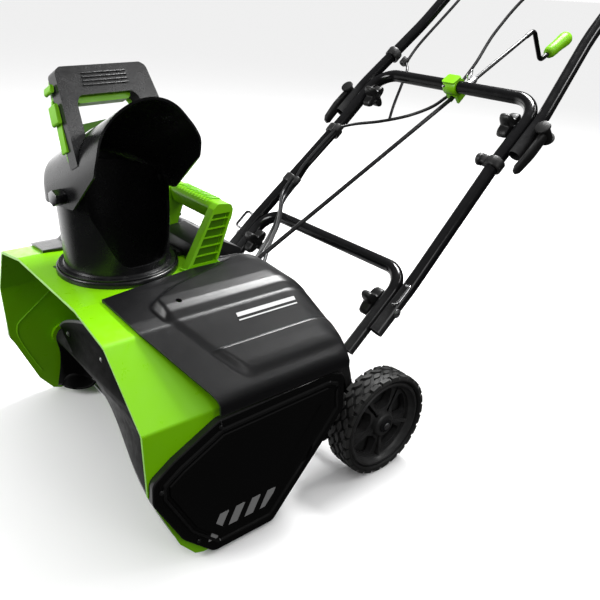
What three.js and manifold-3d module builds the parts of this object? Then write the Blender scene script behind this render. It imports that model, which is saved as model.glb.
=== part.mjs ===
// Walk-behind cordless snow thrower, modelled as separate named pieces.
// Millimetres, +Z up. X runs across the machine (+X is the operator's left), Y runs from the
// front lip to the handle, and z = 0 is the ground.
import * as THREE from 'three';
import { mergeVertices } from 'three/addons/utils/BufferGeometryUtils.js';
import Module from 'manifold-3d';

const wasm = await Module();
wasm.setup();

// ---------------------------------------------------------------- driving dimensions
const GAP = 0.4;                     // running and assembly gap between neighbours
const SCRAPER_Y = 171;               // scraper bar centre, behind the front lip
const SIDE_X = 262;                  // half width of the housing, for a 508 mm clearing width
const WALL = 4;                      // housing skin
const PANEL_X = 276;                 // outer face of the side panels
const DECK_Z = 343;                  // top of the green deck
const DECK_REAR_Y = 238;
const TUB_TOP_Z = 231;               // split line between the rear tub and the covers
const REAR_Y = 334;                  // back face of the body
const AUGER = { y: 106, z: 118, radius: 105, shaft: 8, scroll: 112 };
const SCROLL_START = -63;            // degrees, where the scroll begins above the scraper
const SCROLL_TANGENT = 7.5;          // degrees, where the scroll leaves its arc for the chute
const CHUTE_Y = 111.5;               // chute turning axis
const CHUTE_FACING = 10;             // degrees from +X towards +Y
const CHUTE = { bore: 71.5, outer: 75, flare: 0.04, flange: 86.5, flangeZ: 351.2, top: 480 };
const HOOD = { pivotU: 13, pivotW: 468, halfWidth: 86, rimU: 94, axisW: 515, axisTilt: 28 };
const TRANSFER_Y = 226;              // vertical shaft between the crank and the chute ring
const PINION_START = 20.5;           // along the rod from the transfer shaft's axis
const RING_TEETH = 28;
const TRANSFER_TEETH = 10;
const ROD = { y: 349, z: 289, slope: 27.25, radius: 4 };
const MOTOR = { y: 268, z: 150, radius: 37 };
const PULLEY = { auger: 58, motor: 11.6, belt: 2.4, x: 263.2, width: 9 };
const WHEEL = { y: 425, z: 89, radius: 89, inner: 237, outer: 282 };
const AXLE_RADIUS = 6;
const CRANK_THROW = 74;
const HANDLE = { y: 483, z: 253.7, tilt: 41.27 };
const LOWER_TUBE = { radius: 9.5, x: 192, foot: -95, cross: 70 };
const MIDDLE_TUBE = { radius: 11, x: 214, waist: 198, end: -45, cross: 467 };
const TUBE_WALL = 1.6;
const UPPER_TUBE = { radius: 11, x: 221, end: 345, pivot: 404, cross: 1010 };
const CAM = { x: 244.2, r: 11.6 };
const KNOB = { radius: 23, depth: 20, bolt: 3 };

const rad = THREE.MathUtils.degToRad;

// ---------------------------------------------------------------- materials
const finish = (color, roughness, metalness) =>
  new THREE.MeshStandardMaterial({ color, roughness, metalness });
const looks = {
  green: () => finish(0x7fd000, 0.38, 0),
  satin: () => finish(0x17181a, 0.5, 0),
  gloss: () => finish(0x0c0c0d, 0.18, 0),
  tube: () => finish(0x0f0f10, 0.28, 0.3),
  rubber: () => finish(0x141414, 0.8, 0),
  tyre: () => finish(0x181818, 0.75, 0),
  steel: () => finish(0xa9abad, 0.35, 1),
  plate: () => finish(0x7c7f82, 0.4, 1),
  board: () => finish(0x20502c, 0.6, 0),
};

// ---------------------------------------------------------------- solids and booleans
function toSolid(geometry) {
  const bare = geometry.clone();
  bare.deleteAttribute('normal');
  bare.deleteAttribute('uv');
  const merged = mergeVertices(bare, 1e-4);
  return new wasm.Manifold(new wasm.Mesh({
    numProp: 3,
    vertProperties: new Float32Array(merged.attributes.position.array),
    triVerts: new Uint32Array(merged.index.array),
  }));
}

function toGeometry(solid) {
  const { vertProperties, triVerts } = solid.getMesh();
  const geometry = new THREE.BufferGeometry();
  geometry.setAttribute('position', new THREE.BufferAttribute(new Float32Array(vertProperties), 3));
  geometry.setIndex(new THREE.BufferAttribute(new Uint32Array(triVerts), 1));
  geometry.computeVertexNormals();
  return geometry;
}

const union = (first, ...rest) => rest.reduce((sum, solid) => sum.add(solid), first);
const cut = (first, ...rest) => rest.reduce((left, solid) => left.subtract(solid), first);
const common = (first, ...rest) => rest.reduce((left, solid) => left.intersect(solid), first);
const placed = (geometry, matrix) => toSolid(geometry.clone().applyMatrix4(matrix));

function outline(points, holes = []) {
  const shape = new THREE.Shape(points.map(([a, b]) => new THREE.Vector2(a, b)));
  shape.holes = holes.map((hole) => new THREE.Path(hole.map(([a, b]) => new THREE.Vector2(a, b))));
  return shape;
}

// Prisms: points lie in the plane square to the named axis, (y, z), (x, z) or (x, y).
function prismX(points, x0, x1, holes = []) {
  const depth = x1 - x0;
  const geometry = new THREE.ExtrudeGeometry(outline(points, holes), { depth, bevelEnabled: false });
  const basis = new THREE.Matrix4().set(0, 0, 1, x0, 1, 0, 0, 0, 0, 1, 0, 0, 0, 0, 0, 1);
  return toSolid(geometry.applyMatrix4(basis));
}

function prismY(points, y0, y1, holes = []) {
  const depth = y1 - y0;
  const geometry = new THREE.ExtrudeGeometry(outline(points, holes), { depth, bevelEnabled: false });
  const basis = new THREE.Matrix4().set(1, 0, 0, 0, 0, 0, -1, y1, 0, 1, 0, 0, 0, 0, 0, 1);
  return toSolid(geometry.applyMatrix4(basis));
}

function prismZ(points, z0, z1, holes = []) {
  const depth = z1 - z0;
  const geometry = new THREE.ExtrudeGeometry(outline(points, holes), { depth, bevelEnabled: false });
  return toSolid(geometry.translate(0, 0, z0));
}

const box = (x0, x1, y0, y1, z0, z1) => prismZ([[x0, y0], [x1, y0], [x1, y1], [x0, y1]], z0, z1);

// Solid of revolution about an axis; profile is a closed list of [radius, height].
function turned(profile, segments, axis = 'z', centre = [0, 0, 0]) {
  const onAxis = profile[0][0] === 0 && profile.at(-1)[0] === 0;
  const points = (onAxis ? profile : [...profile, profile[0]]).map(([r, h]) => new THREE.Vector2(r, h));
  const geometry = new THREE.LatheGeometry(points, segments);
  const turn = { z: [Math.PI / 2, 0, 0], x: [0, 0, -Math.PI / 2], y: [0, 0, 0] }[axis];
  geometry.rotateX(turn[0]).rotateZ(turn[2]);
  geometry.translate(...centre);
  return toSolid(geometry);
}

const rod = (axis, centre, radius, from, to, segments = 24) =>
  turned([[0, from], [radius, from], [radius, to], [0, to]], segments, axis, centre);
const hoop = (axis, centre, inner, outer, from, to, segments = 32) =>
  turned([[inner, from], [outer, from], [outer, to], [inner, to]], segments, axis, centre);

function arc(cy, cz, radius, fromDeg, toDeg, steps) {
  return Array.from({ length: steps + 1 }, (_, i) => {
    const angle = rad(fromDeg + (toDeg - fromDeg) * i / steps);
    return [cy + radius * Math.cos(angle), cz + radius * Math.sin(angle)];
  });
}

function mirrorX(solid) {
  const geometry = toGeometry(solid).scale(-1, 1, 1);
  const index = geometry.index.array;
  for (let i = 0; i < index.length; i += 3) [index[i], index[i + 1]] = [index[i + 1], index[i]];
  geometry.deleteAttribute('normal');
  return toSolid(geometry);
}

// A path given by its own sample points, so an extrusion steps exactly on them.
class BentPath extends THREE.Curve {
  constructor(points) {
    super();
    this.points = points;
  }

  getPoint(t, target = new THREE.Vector3()) {
    const last = this.points.length - 1;
    const place = Math.min(t * last, last);
    const i = Math.min(Math.floor(place), last - 1);
    return target.lerpVectors(this.points[i], this.points[i + 1], place - i);
  }

  getPointAt(t, target) {
    return this.getPoint(t, target);
  }

  getTangentAt(t, target = new THREE.Vector3()) {
    const last = this.points.length - 1;
    const i = Math.round(t * last);
    const before = this.points[Math.max(i - 1, 0)];
    const after = this.points[Math.min(i + 1, last)];
    return target.subVectors(after, before).normalize();
  }
}

// Rounds the corners of a polyline: corner points carry their bend radius as a 4th value.
function bend(corners, degreesPerStep) {
  const points = [];
  corners.forEach(([x, y, z, radius = 0], i) => {
    const corner = new THREE.Vector3(x, y, z);
    if (!radius) {
      points.push(corner);
      return;
    }
    const back = new THREE.Vector3(...corners[i - 1].slice(0, 3)).sub(corner).normalize();
    const ahead = new THREE.Vector3(...corners[i + 1].slice(0, 3)).sub(corner).normalize();
    const half = back.angleTo(ahead) / 2;
    const start = corner.clone().addScaledVector(back, radius / Math.tan(half));
    const centre = corner.clone().addScaledVector(
      back.clone().add(ahead).normalize(), radius / Math.sin(half));
    const from = start.clone().sub(centre);
    const spin = new THREE.Vector3().crossVectors(ahead, back).normalize();
    const sweep = Math.PI - 2 * half;
    const steps = Math.max(1, Math.round(sweep / rad(degreesPerStep)));
    for (let k = 0; k <= steps; k++) {
      points.push(centre.clone().add(from.clone().applyAxisAngle(spin, sweep * k / steps)));
    }
  });
  return points;
}

const ringOf = (radius, sides) => arc(0, 0, radius, 0, 360 - 360 / sides, sides - 1);

// Round bar along a bent path; with a bore it is a pipe, open at both ends.
function tube(corners, radius, sides = 12, degreesPerStep = 18, bore = 0) {
  const points = bend(corners, degreesPerStep);
  const holes = bore ? [ringOf(bore, 6)] : [];
  return toSolid(new THREE.ExtrudeGeometry(outline(ringOf(radius, sides), holes), {
    steps: points.length - 1, extrudePath: new BentPath(points), bevelEnabled: false,
  }));
}

// ---------------------------------------------------------------- scene graph
const machine = new THREE.Group();
machine.position.y = -SCRAPER_Y;

const chuteGroup = new THREE.Group();
chuteGroup.position.set(0, CHUTE_Y, 0);
chuteGroup.rotation.z = rad(CHUTE_FACING);

const handleGroup = new THREE.Group();
handleGroup.position.set(0, HANDLE.y, HANDLE.z);
handleGroup.rotation.x = rad(HANDLE.tilt);

const rodGroup = new THREE.Group();
rodGroup.position.set(0, ROD.y, ROD.z);
rodGroup.rotation.x = rad(ROD.slope);
machine.add(chuteGroup, handleGroup, rodGroup);

function add(name, solid, material, group = machine) {
  const mesh = new THREE.Mesh(toGeometry(solid), material);
  mesh.name = name;
  group.add(mesh);
}

const bothSides = [['left', 1], ['right', -1]];
const sided = (solid, side) => (side > 0 ? solid : mirrorX(solid));

// ---------------------------------------------------------------- auger housing
// Front outline of the housing: flat deck, a mild shoulder, a steep shoulder, upright sides.
const frontOutline = (offset) => [
  [-SIDE_X - offset, -10], [-SIDE_X - offset, 234 + 0.4 * offset],
  [-187.6 - 0.5 * offset, 327 + 0.9 * offset], [-104, DECK_Z + offset],
  [104, DECK_Z + offset], [187.6 + 0.5 * offset, 327 + 0.9 * offset],
  [SIDE_X + offset, 234 + 0.4 * offset], [SIDE_X + offset, -10],
];

// Rear face of the scroll: an arc round the auger, then straight up to the chute.
function scrollCurve(radius, topZ, endDeg) {
  const run = arc(AUGER.y, AUGER.z, radius, endDeg, SCROLL_TANGENT, 14);
  const [y, z] = run.at(-1);
  run.push([y - (topZ - z) * Math.tan(rad(SCROLL_TANGENT)), topZ]);
  return run;
}

function augerHousing() {
  const skin = AUGER.scroll + 3;
  const side = [
    [0, DECK_Z], [0, 327], [8, 234], [11, 140], [54, 37], [77, 8], [90, 3], [148, 3],
    ...scrollCurve(skin, DECK_Z - WALL, SCROLL_START), [DECK_REAR_Y, DECK_Z - WALL], [DECK_REAR_Y, DECK_Z],
  ];
  const hollow = [[-20, 360], [-20, -20], [158, -20], ...scrollCurve(AUGER.scroll, 360, SCROLL_START)];
  const body = common(prismY(frontOutline(0), -1, 240), prismX(side, -SIDE_X, SIDE_X));
  const inside = common(
    prismY(frontOutline(-WALL), -30, 240),
    prismX(hollow, -SIDE_X + WALL, SIDE_X - WALL));
  const collar = hoop('z', [0, CHUTE_Y, 0], 87.2, 89.8, DECK_Z - 1, DECK_Z + 8, 40);
  const bosses = bothSides.map(([, side]) =>
    sided(rod('x', [0, AUGER.y, AUGER.z], 22, 250, SIDE_X, 24), side));
  const shell = union(cut(body, inside), collar, ...bosses);
  const bearingSeats = rod('x', [0, AUGER.y, AUGER.z], 14.4, -SIDE_X - 1, SIDE_X + 1, 24);
  return cut(shell, bearingSeats,
    rod('z', [0, CHUTE_Y, 0], CHUTE.outer + 1.5, 320, 346, 40),
    rod('z', [0, TRANSFER_Y, 0], 5, 330, 350, 16),
    box(-33, 33, 188, DECK_REAR_Y + 1, DECK_Z + 0.01, 360));
}

// ---------------------------------------------------------------- rear tub, covers, panels
function rearHousing() {
  const back = [
    [150, 5], [204, 5], [238, 45], [298, 114], [REAR_Y, 157], [REAR_Y, TUB_TOP_Z],
    [196, TUB_TOP_Z], [150, 60],
  ];
  const room = [
    [158, 9], [202, 9], [235, 48], [295, 117], [REAR_Y - 4, 159], [REAR_Y - 4, 260],
    [150, 260], [150, 60],
  ];
  const clearOf = (offset) => prismX(
    [[-20, 400], [-20, -20], [152, -20], ...scrollCurve(AUGER.scroll + 3 + offset, 400, SCROLL_START)], -300, 300);
  const tub = cut(prismX(back, -SIDE_X + 0.5, SIDE_X - 0.5), clearOf(GAP));
  const inside = cut(prismX(room, -SIDE_X + WALL, SIDE_X - WALL), clearOf(GAP + 4));
  return cut(tub, inside, rod('x', [0, MOTOR.y, MOTOR.z], 9, 240, 270));
}

// Plan outline of a cover: its inner edge leans towards the middle, its front edge runs back
// down the shoulder.
const coverPlan = (inset) => [
  [104.5 + inset, 38 + 1.5 * inset], [PANEL_X - inset, 112 + 1.5 * inset],
  [PANEL_X - inset, REAR_Y - inset], [77.5 + inset, REAR_Y - inset], [77.5 + inset, 190], [86 + inset, 135],
];
const shoulder = (offset) => [
  [60, 347.5 + offset], [104.5, 347.5 + offset], [189 + 0.5 * offset, 331.5 + offset],
  [PANEL_X + offset, 252 + 0.5 * offset], [PANEL_X + offset, TUB_TOP_Z + GAP], [60, TUB_TOP_Z + GAP],
];
const rearRound = (offset) => [
  [0, 200], [REAR_Y + offset, 200], [REAR_Y + offset, 272], ...arc(294, 288, 40 + offset, 0, 62, 6),
  [270, 400], [0, 400],
];

function podBlock() {
  const profile = [[90, 340], [90, 358], [112, 357.5], [190, 341.5], [232, 300], [262, 262], [262, 240], [90, 240]];
  const plan = [
    [77.5, 262], [98, 194], [116, 133], [128, 111], [142, 97], [163, 89], [185, 91], [221, 122],
    [262, 160], [262, REAR_Y], [77.5, REAR_Y],
  ];
  return common(prismY(profile, 80, REAR_Y), prismZ(plan, 240, 380));
}

function coverShell() {
  const outside = union(
    common(prismY(shoulder(0), 30, REAR_Y), prismZ(coverPlan(0), 200, 380)), podBlock());
  const rounded = common(outside, prismX(rearRound(0), 60, PANEL_X));
  const lip = common(
    prismY(shoulder(-3.2), 0, REAR_Y - 3), prismZ(coverPlan(3), 150, 380),
    prismX(rearRound(-3), 60, PANEL_X));
  const openBelow = box(80.5, PANEL_X - 3, 120, REAR_Y - 3, 200, 240);
  const hollow = union(lip, openBelow);
  const clearOfHousing = common(
    prismY(frontOutline(GAP), -20, DECK_REAR_Y + GAP), prismX(
      [[-20, 400], [-20, -20], [200, -20], [DECK_REAR_Y + GAP, 330], [DECK_REAR_Y + GAP, 400]], -300, 300));
  return cut(rounded, hollow, clearOfHousing, rod('z', [0, CHUTE_Y, 0], 90.5, 340, 370, 40));
}

const LID = { x0: 116, x1: 190, y0: 150, y1: 286, hingeY: 153.4, innerZ: 361.5, outerZ: 346.5 };

function batteryCover() {
  const well = box(LID.x0, LID.x1, LID.y0, LID.y1, 300, 400);
  return mirrorX(cut(coverShell(), well));
}

function batteryLid() {
  const { x0, x1, y1, hingeY, innerZ, outerZ } = LID;
  const top = [
    [x0 + GAP, innerZ - 4.5], [x1 - GAP, outerZ - 4.5], [x1 - GAP, outerZ], [x0 + GAP, innerZ],
  ];
  const lid = prismY(top, hingeY, y1 - GAP);
  const catchLip = box(138, 168, y1 - 16, y1 - GAP, 336, 352);
  const knuckle = tube([[x0 + 3, hingeY, innerZ - 0.6], [x1 - 3, hingeY, outerZ + 0.6]], 3, 10);
  return mirrorX(union(lid, catchLip, knuckle));
}

function centreCover() {
  const raised = [[203, DECK_Z + GAP], [214, 367], [256, 371], [292, 352], [300, 320], [250, 320], [239, 338],
    [239, DECK_Z + GAP]];
  const back = [[DECK_REAR_Y + GAP, TUB_TOP_Z + GAP], [DECK_REAR_Y + GAP, 346], [284, 344], [309, 330],
    [327, 306], [REAR_Y, 280], [REAR_Y, TUB_TOP_Z + GAP]];
  const shell = union(prismX(raised, -56, 56), prismX(back, -77, 77));
  const insideRaised = [[207, DECK_Z - 2], [217, 363], [255, 367], [288, 350], [296, 318], [242, 300]];
  const insideBack = [[242, 200], [242, 342], [282, 340], [305, 327], [323, 304], [REAR_Y - 4, 280],
    [REAR_Y - 4, 200]];
  const rodHole = turned([[0, -60], [7, -60], [7, 40], [0, 40]], 16, 'y');
  const alongRod = new THREE.Matrix4().makeRotationX(rad(ROD.slope)).setPosition(0, ROD.y, ROD.z);
  const pinionDoor = box(-33, 33, 200, 216, DECK_Z, 351);
  const driveDoor = box(-24, 24, 230, 248, 225, 290);
  return cut(shell, prismX(insideRaised, -53, 53), prismX(insideBack, -74, 74), pinionDoor, driveDoor,
    placed(toGeometry(rodHole), alongRod));
}

const panelOutline = (y, z) => [
  [111, 223 - z], [300, 229.5 - z], [328 - y, 220 - z], [REAR_Y - y, 160], [298 - y, 114 + z],
  [238 - y, 45 + z], [204 - y, 5 + z], [101 + y, 5 + z], [54 + y, 53 + 0.4 * z], [12 + y, 133],
  [15 + y, 168 - 0.4 * z], [44, 187 - z], [80, 210 - z],
];

function sidePanel() {
  const plate = prismX(panelOutline(0, 0), SIDE_X + GAP, PANEL_X - 2.5);
  const face = prismX(panelOutline(4, 4), PANEL_X - 3, PANEL_X);
  const room = prismX(panelOutline(6, 6), SIDE_X, PANEL_X - 2.2);
  return cut(union(plate, face), room);
}

function scraperBar() {
  return prismX([[146, 0], [196, 0], [196, 4.6], [152, 4.6], [146, 1.6]], -SIDE_X + 8, SIDE_X - 8);
}

// ---------------------------------------------------------------- power
function batteryPack() {
  const core = box(-186, -120, 220, 283, 186, 306);
  const tabs = [0, 1].map((i) => box(-190, -116, 226 + 30 * i, 246 + 30 * i, 196, 286));
  return union(core, ...tabs, box(-174, -132, 226, 276, 305, 316));
}

function motorBody() {
  const can = rod('x', [0, MOTOR.y, MOTOR.z], MOTOR.radius, 176, 244, 32);
  const nose = rod('x', [0, MOTOR.y, MOTOR.z], 20, 243, 254, 24);
  const foot = box(184, 236, 246, 284, 108, 130);
  const slot = rod('x', [0, MOTOR.y, MOTOR.z], 6, 240, 255, 16);
  return cut(union(can, nose, foot), slot);
}

function motorPulley() {
  const { motor, x, width } = PULLEY;
  return union(
    rod('x', [0, MOTOR.y, MOTOR.z], motor - 0.4, x, x + width, 24),
    rod('x', [0, MOTOR.y, MOTOR.z], 5, 242, x + 0.5, 16));
}

function beltLoop(offset) {
  const dy = MOTOR.y - AUGER.y;
  const dz = MOTOR.z - AUGER.z;
  const line = Math.atan2(dz, dy) * 180 / Math.PI;
  const wrap = Math.acos((PULLEY.auger - PULLEY.motor) / Math.hypot(dy, dz)) * 180 / Math.PI;
  return [
    ...arc(AUGER.y, AUGER.z, PULLEY.auger + offset, line + wrap, line + 360 - wrap, 30),
    ...arc(MOTOR.y, MOTOR.z, PULLEY.motor + offset, line - wrap, line + wrap, 8),
  ];
}

const driveBelt = () => prismX(
  beltLoop(PULLEY.belt), PULLEY.x + 0.8, PULLEY.x + PULLEY.width - 0.8, [beltLoop(0).reverse()]);

function augerPulley() {
  const { auger, x, width } = PULLEY;
  const wheel = rod('x', [0, AUGER.y, AUGER.z], auger - 0.5, x, x + width, 48);
  const windows = Array.from({ length: 5 }, (_, i) => {
    const angle = rad(72 * i);
    return rod('x', [0, AUGER.y + 36 * Math.cos(angle), AUGER.z + 36 * Math.sin(angle)], 11, 260, 275, 16);
  });
  return cut(wheel, ...windows, rod('x', [0, AUGER.y, AUGER.z], AUGER.shaft + 0.3, 250, 280, 24));
}

function controlBoard() {
  const plate = box(-64, 64, 252, 318, 176, 180);
  const parts = [[-50, -30], [-18, 2], [14, 26], [34, 54]].map(([a, b]) => box(a, b, 262, 306, 179, 196));
  return union(plate, ...parts);
}

// ---------------------------------------------------------------- auger
// Two rubber blades on a sleeve. Each rim follows a shallow S along the shaft and sweeps forward
// sharply at both ends.
const bladeTurn = (share) => {
  const end = Math.min(1, Math.max(0, (Math.abs(share) - 0.9) / 0.1));
  return rad(269 - 23 * Math.sin(Math.PI / 2 * share) - 34 * end * end);
};

function twistedBlade(start, inner, outer, halfWidth, shares) {
  const positions = [];
  const thick = 2.6;
  const steps = shares.length - 1;
  for (const share of shares) {
    const turn = start + bladeTurn(share);
    [[inner, -thick], [outer, -thick], [outer, thick], [inner, thick]].forEach(([r, t]) => {
      positions.push(share * halfWidth, r * Math.cos(turn) - t * Math.sin(turn),
        r * Math.sin(turn) + t * Math.cos(turn));
    });
  }
  const faces = [0, 2, 1, 0, 3, 2];
  for (let i = 0; i < steps; i++) {
    for (let k = 0; k < 4; k++) {
      const a = 4 * i + k;
      const b = 4 * i + (k + 1) % 4;
      faces.push(a, b, b + 4, a, b + 4, a + 4);
    }
  }
  const end = 4 * steps;
  faces.push(end, end + 1, end + 2, end, end + 2, end + 3);
  const geometry = new THREE.BufferGeometry();
  geometry.setAttribute('position', new THREE.BufferAttribute(new Float32Array(positions), 3));
  geometry.setIndex(faces);
  return toSolid(geometry);
}

function augerPaddle() {
  const halfWidth = 246;
  const shares = [-1, -0.97, -0.94, -0.9, -0.7, -0.4, 0, 0.4, 0.7, 0.9, 0.94, 0.97, 1];
  const blades = [0, Math.PI].map((start) => twistedBlade(start, 13, AUGER.radius, halfWidth, shares));
  const sleeve = rod('x', [0, 0, 0], 17, -halfWidth + 1, halfWidth - 1, 16);
  const bore = rod('x', [0, 0, 0], AUGER.shaft + 0.4, -260, 260, 16);
  const whole = cut(union(sleeve, ...blades), bore);
  return placed(toGeometry(whole), new THREE.Matrix4().setPosition(0, AUGER.y, AUGER.z));
}

// ---------------------------------------------------------------- chute and its drive
function toothed(teeth, root, tip, z0, z1, bore) {
  const points = [];
  for (let i = 0; i < teeth; i++) {
    [[0.06, root], [0.3, tip], [0.56, tip], [0.8, root]].forEach(([share, radius]) => {
      const angle = 2 * Math.PI * (i + share) / teeth;
      points.push([radius * Math.cos(angle), radius * Math.sin(angle)]);
    });
  }
  const hole = Array.from({ length: 32 }, (_, i) => {
    const angle = -2 * Math.PI * i / 32;
    return [bore * Math.cos(angle), bore * Math.sin(angle)];
  });
  return prismZ(points, z0, z1, bore ? [hole] : []);
}

function chuteTube() {
  const { bore, outer, flare, flange, flangeZ, top } = CHUTE;
  const rise = top - 356;
  const wall = turned([
    [bore - 2, 301], [bore + 1, 301], [outer, 345], [outer, flangeZ], [flange, flangeZ], [flange, flangeZ + 3.6],
    [outer, 362], [outer + flare * rise, top], [bore + flare * rise, top], [bore, 362],
  ], 40);
  const mouth = [[-44, 372], [-34, 367], [34, 367], [44, 372], [66, 440], [70, 520], [-70, 520], [-66, 440]];
  const front = prismX(mouth, 12, 120);
  const pivotHoles = rod('y', [HOOD.pivotU, 0, HOOD.pivotW], 4.4, -120, 120, 16);
  return cut(wall, front, pivotHoles);
}

const chuteGear = () => toothed(RING_TEETH, 80, 84, 344.2, 350.8, CHUTE.outer + GAP);

function transferGear() {
  const pinion = toothed(TRANSFER_TEETH, 24, 29.4, 344.2, 350.8, 0);
  const shaft = rod('z', [0, 0, 0], 4.5, 238, 346, 16);
  const bevel = turned([[0, 236], [14, 236], [15, 240], [9, 247], [0, 247]], 20);
  return placed(toGeometry(union(pinion, shaft, bevel)), new THREE.Matrix4().setPosition(0, TRANSFER_Y, 0));
}

// The hood is a leaning vault over a box-shaped skirt, trimmed by its side outline.
function hoodForm(shrink, rimExtra) {
  const { halfWidth, rimU, axisW, axisTilt } = HOOD;
  const across = halfWidth - shrink;
  const deep = 74 - shrink;
  const vault = new THREE.CylinderGeometry(1, 1, 420, 40);
  const lean = new THREE.Matrix4()
    .makeTranslation(rimU, 0, axisW)
    .multiply(new THREE.Matrix4().makeRotationY(-rad(axisTilt)))
    .multiply(new THREE.Matrix4().makeScale(1, across, deep))
    .multiply(new THREE.Matrix4().makeRotationZ(Math.PI / 2));
  const drop = Math.tan(rad(axisTilt));
  const skirt = prismY([
    [-200, 300], [200, 300], [200, axisW + drop * (200 - rimU)], [-200, axisW - drop * (200 + rimU)],
  ], -across, across);
  const trim = prismY([
    [34 + rimExtra, 452 - rimExtra], [88 + rimExtra, 511 - rimExtra], [rimU + rimExtra, 535],
    [rimU + rimExtra, 640], [-120, 640], [-120, 448 - rimExtra],
  ], -120, 120);
  const back = union(rod('z', [0, 0, 0], 91 - shrink, 400, 660, 48), box(0, 160, -120, 120, 400, 660));
  return common(union(placed(vault, lean), skirt), trim, back);
}

function chuteHood() {
  const holes = rod('y', [HOOD.pivotU, 0, HOOD.pivotW], 4.4, -120, 120, 16);
  return cut(hoodForm(0, 0), hoodForm(3, 12), holes);
}

function hoodBolt(side) {
  const shank = rod('y', [HOOD.pivotU, 0, HOOD.pivotW], 3.9, 66, 92, 12);
  const head = rod('y', [HOOD.pivotU, 0, HOOD.pivotW], 11, 86.5, 101, 6);
  const nut = rod('y', [HOOD.pivotU, 0, HOOD.pivotW], 8, 66, 72.4, 6);
  const bolt = union(shank, head, nut);
  if (side > 0) return bolt;
  return placed(toGeometry(bolt), new THREE.Matrix4().makeTranslation(2 * HOOD.pivotU, 0, 0)
    .multiply(new THREE.Matrix4().makeRotationZ(Math.PI)));
}

// D-handle frame: x across, y up its leaning front face from the top edge, z out of the face.
const GRIP = { u: -7.5, w: 626, lean: 27.8 };
const gripPlace = new THREE.Matrix4()
  .makeTranslation(GRIP.u, 0, GRIP.w)
  .multiply(new THREE.Matrix4().makeRotationY(-rad(GRIP.lean)))
  .multiply(new THREE.Matrix4().makeRotationZ(Math.PI / 2))
  .multiply(new THREE.Matrix4().makeRotationX(Math.PI / 2));

function deflectorHandle() {
  const ring = [[-84, -130], [84, -130], [69, -6], [63, 0], [-63, 0], [-69, -6]];
  const opening = [[-50, -104], [-42, -44], [-36, -38], [36, -38], [42, -44], [50, -104]];
  const frame = placed(toGeometry(prismZ(ring, -27, 0, [opening])), gripPlace);
  const lower = hoodForm(-GAP, 20);
  const below = box(-150, 150, -150, 150, 300, 500);
  return cut(frame, lower, below);
}

function deflectorTrigger() {
  const plate = [[-60, -112], [60, -112], [56, -56], [-56, -56]];
  const body = prismZ(plate, -44, -28);
  const tabs = [prismZ([[56, -70], [58, -100], [82, -100], [78, -70]], -40, -30),
    prismZ([[-56, -70], [-58, -100], [-82, -100], [-78, -70]], -40, -30)];
  const solid = placed(toGeometry(union(body, ...tabs)), gripPlace);
  return cut(solid, hoodForm(-2.5, 20), box(-150, 150, -150, 150, 300, 505));
}

function carryHandle() {
  const leg = [[185, DECK_Z + GAP], [236, DECK_Z + GAP], [265, 424], [262, 432], [244, 436], [234, 430]];
  const legs = bothSides.map(([, side]) => sided(prismX(leg, 58, 73), side));
  const bar = prismX([[240, 410], [262, 410], [265, 424], [262, 432], [244, 436], [236, 428]], -73, 73);
  const pockets = [];
  const rows = 6;
  for (let i = 0; i < rows; i++) {
    const z0 = 349 + i * 13;
    const z1 = z0 + (i === rows - 1 ? 5 : 11);
    const front = (z) => 185 + (z - DECK_Z) * 0.566 + 6;
    const rear = (z) => 236 + (z - DECK_Z) * 0.36 - 5;
    const pocket = prismX([[front(z0), z0], [rear(z0), z0], [rear(z1), z1], [front(z1), z1]], 62, 80);
    pockets.push(pocket, mirrorX(pocket));
  }
  return cut(union(...legs, bar), ...pockets);
}

// ---------------------------------------------------------------- wheels and brackets
function wheelDisc() {
  const { y, z, inner, outer, radius } = WHEEL;
  const rim = radius - 13;
  const disc = turned([
    [rim - 8, inner + 6], [rim, inner + 4], [rim, outer - 4], [rim - 8, outer - 6], [rim - 12, outer - 18],
    [26, outer - 16], [20, outer - 3], [AXLE_RADIUS + 0.2, outer - 3], [AXLE_RADIUS + 0.2, inner + 2],
    [20, inner + 2], [26, inner + 16], [rim - 12, inner + 16],
  ], 30, 'x', [0, y, z]);
  const windows = Array.from({ length: 5 }, (_, i) => {
    const mid = 72 * i + 18;
    const sector = [...arc(y, z, 58, mid - 25, mid + 25, 4), ...arc(y, z, 32, mid + 18, mid - 18, 2)];
    return prismX(sector, inner - 5, outer + 5);
  });
  return cut(disc, ...windows);
}

function tyre() {
  const { y, z, inner, outer, radius } = WHEEL;
  const rim = radius - 13 + GAP;
  return turned([
    [rim, inner + 3], [rim + 5, inner], [radius - 3, inner + 1], [radius, inner + 5], [radius, outer - 5],
    [radius - 3, outer - 1], [rim + 5, outer], [rim, outer - 3],
  ], 36, 'x', [0, y, z]);
}

function handleBracket() {
  const plate = [[REAR_Y + GAP, 70], [REAR_Y + GAP, 205], [372, 226], [428, 226], [442, 190], [440, 84],
    [428, 74], [400, 74]];
  const web = prismX(plate, 203, 231);
  const lighten = prismX([[352, 104], [352, 186], [392, 204], [412, 190], [412, 118], [396, 100]], 209, 240);
  const bore = rod('x', [0, WHEEL.y, WHEEL.z], AXLE_RADIUS + 0.3, 190, 240, 24);
  return cut(web, lighten, bore);
}

// ---------------------------------------------------------------- handle tubes
// Handle group: x across, y along the tubes from the lower pivot, z out of the handle's top face.
const boltBore = (s) => rod('x', [0, s, 0], KNOB.bolt + 0.5, -260, 260, 12);

function lowerHandle() {
  const { radius, x, foot, cross } = LOWER_TUBE;
  const path = [[x, foot, 0], [x, cross, 0, 42], [-x, cross, 0, 42], [-x, foot, 0]];
  return cut(tube(path, radius, 12, 18, radius - TUBE_WALL), boltBore(0));
}

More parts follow.
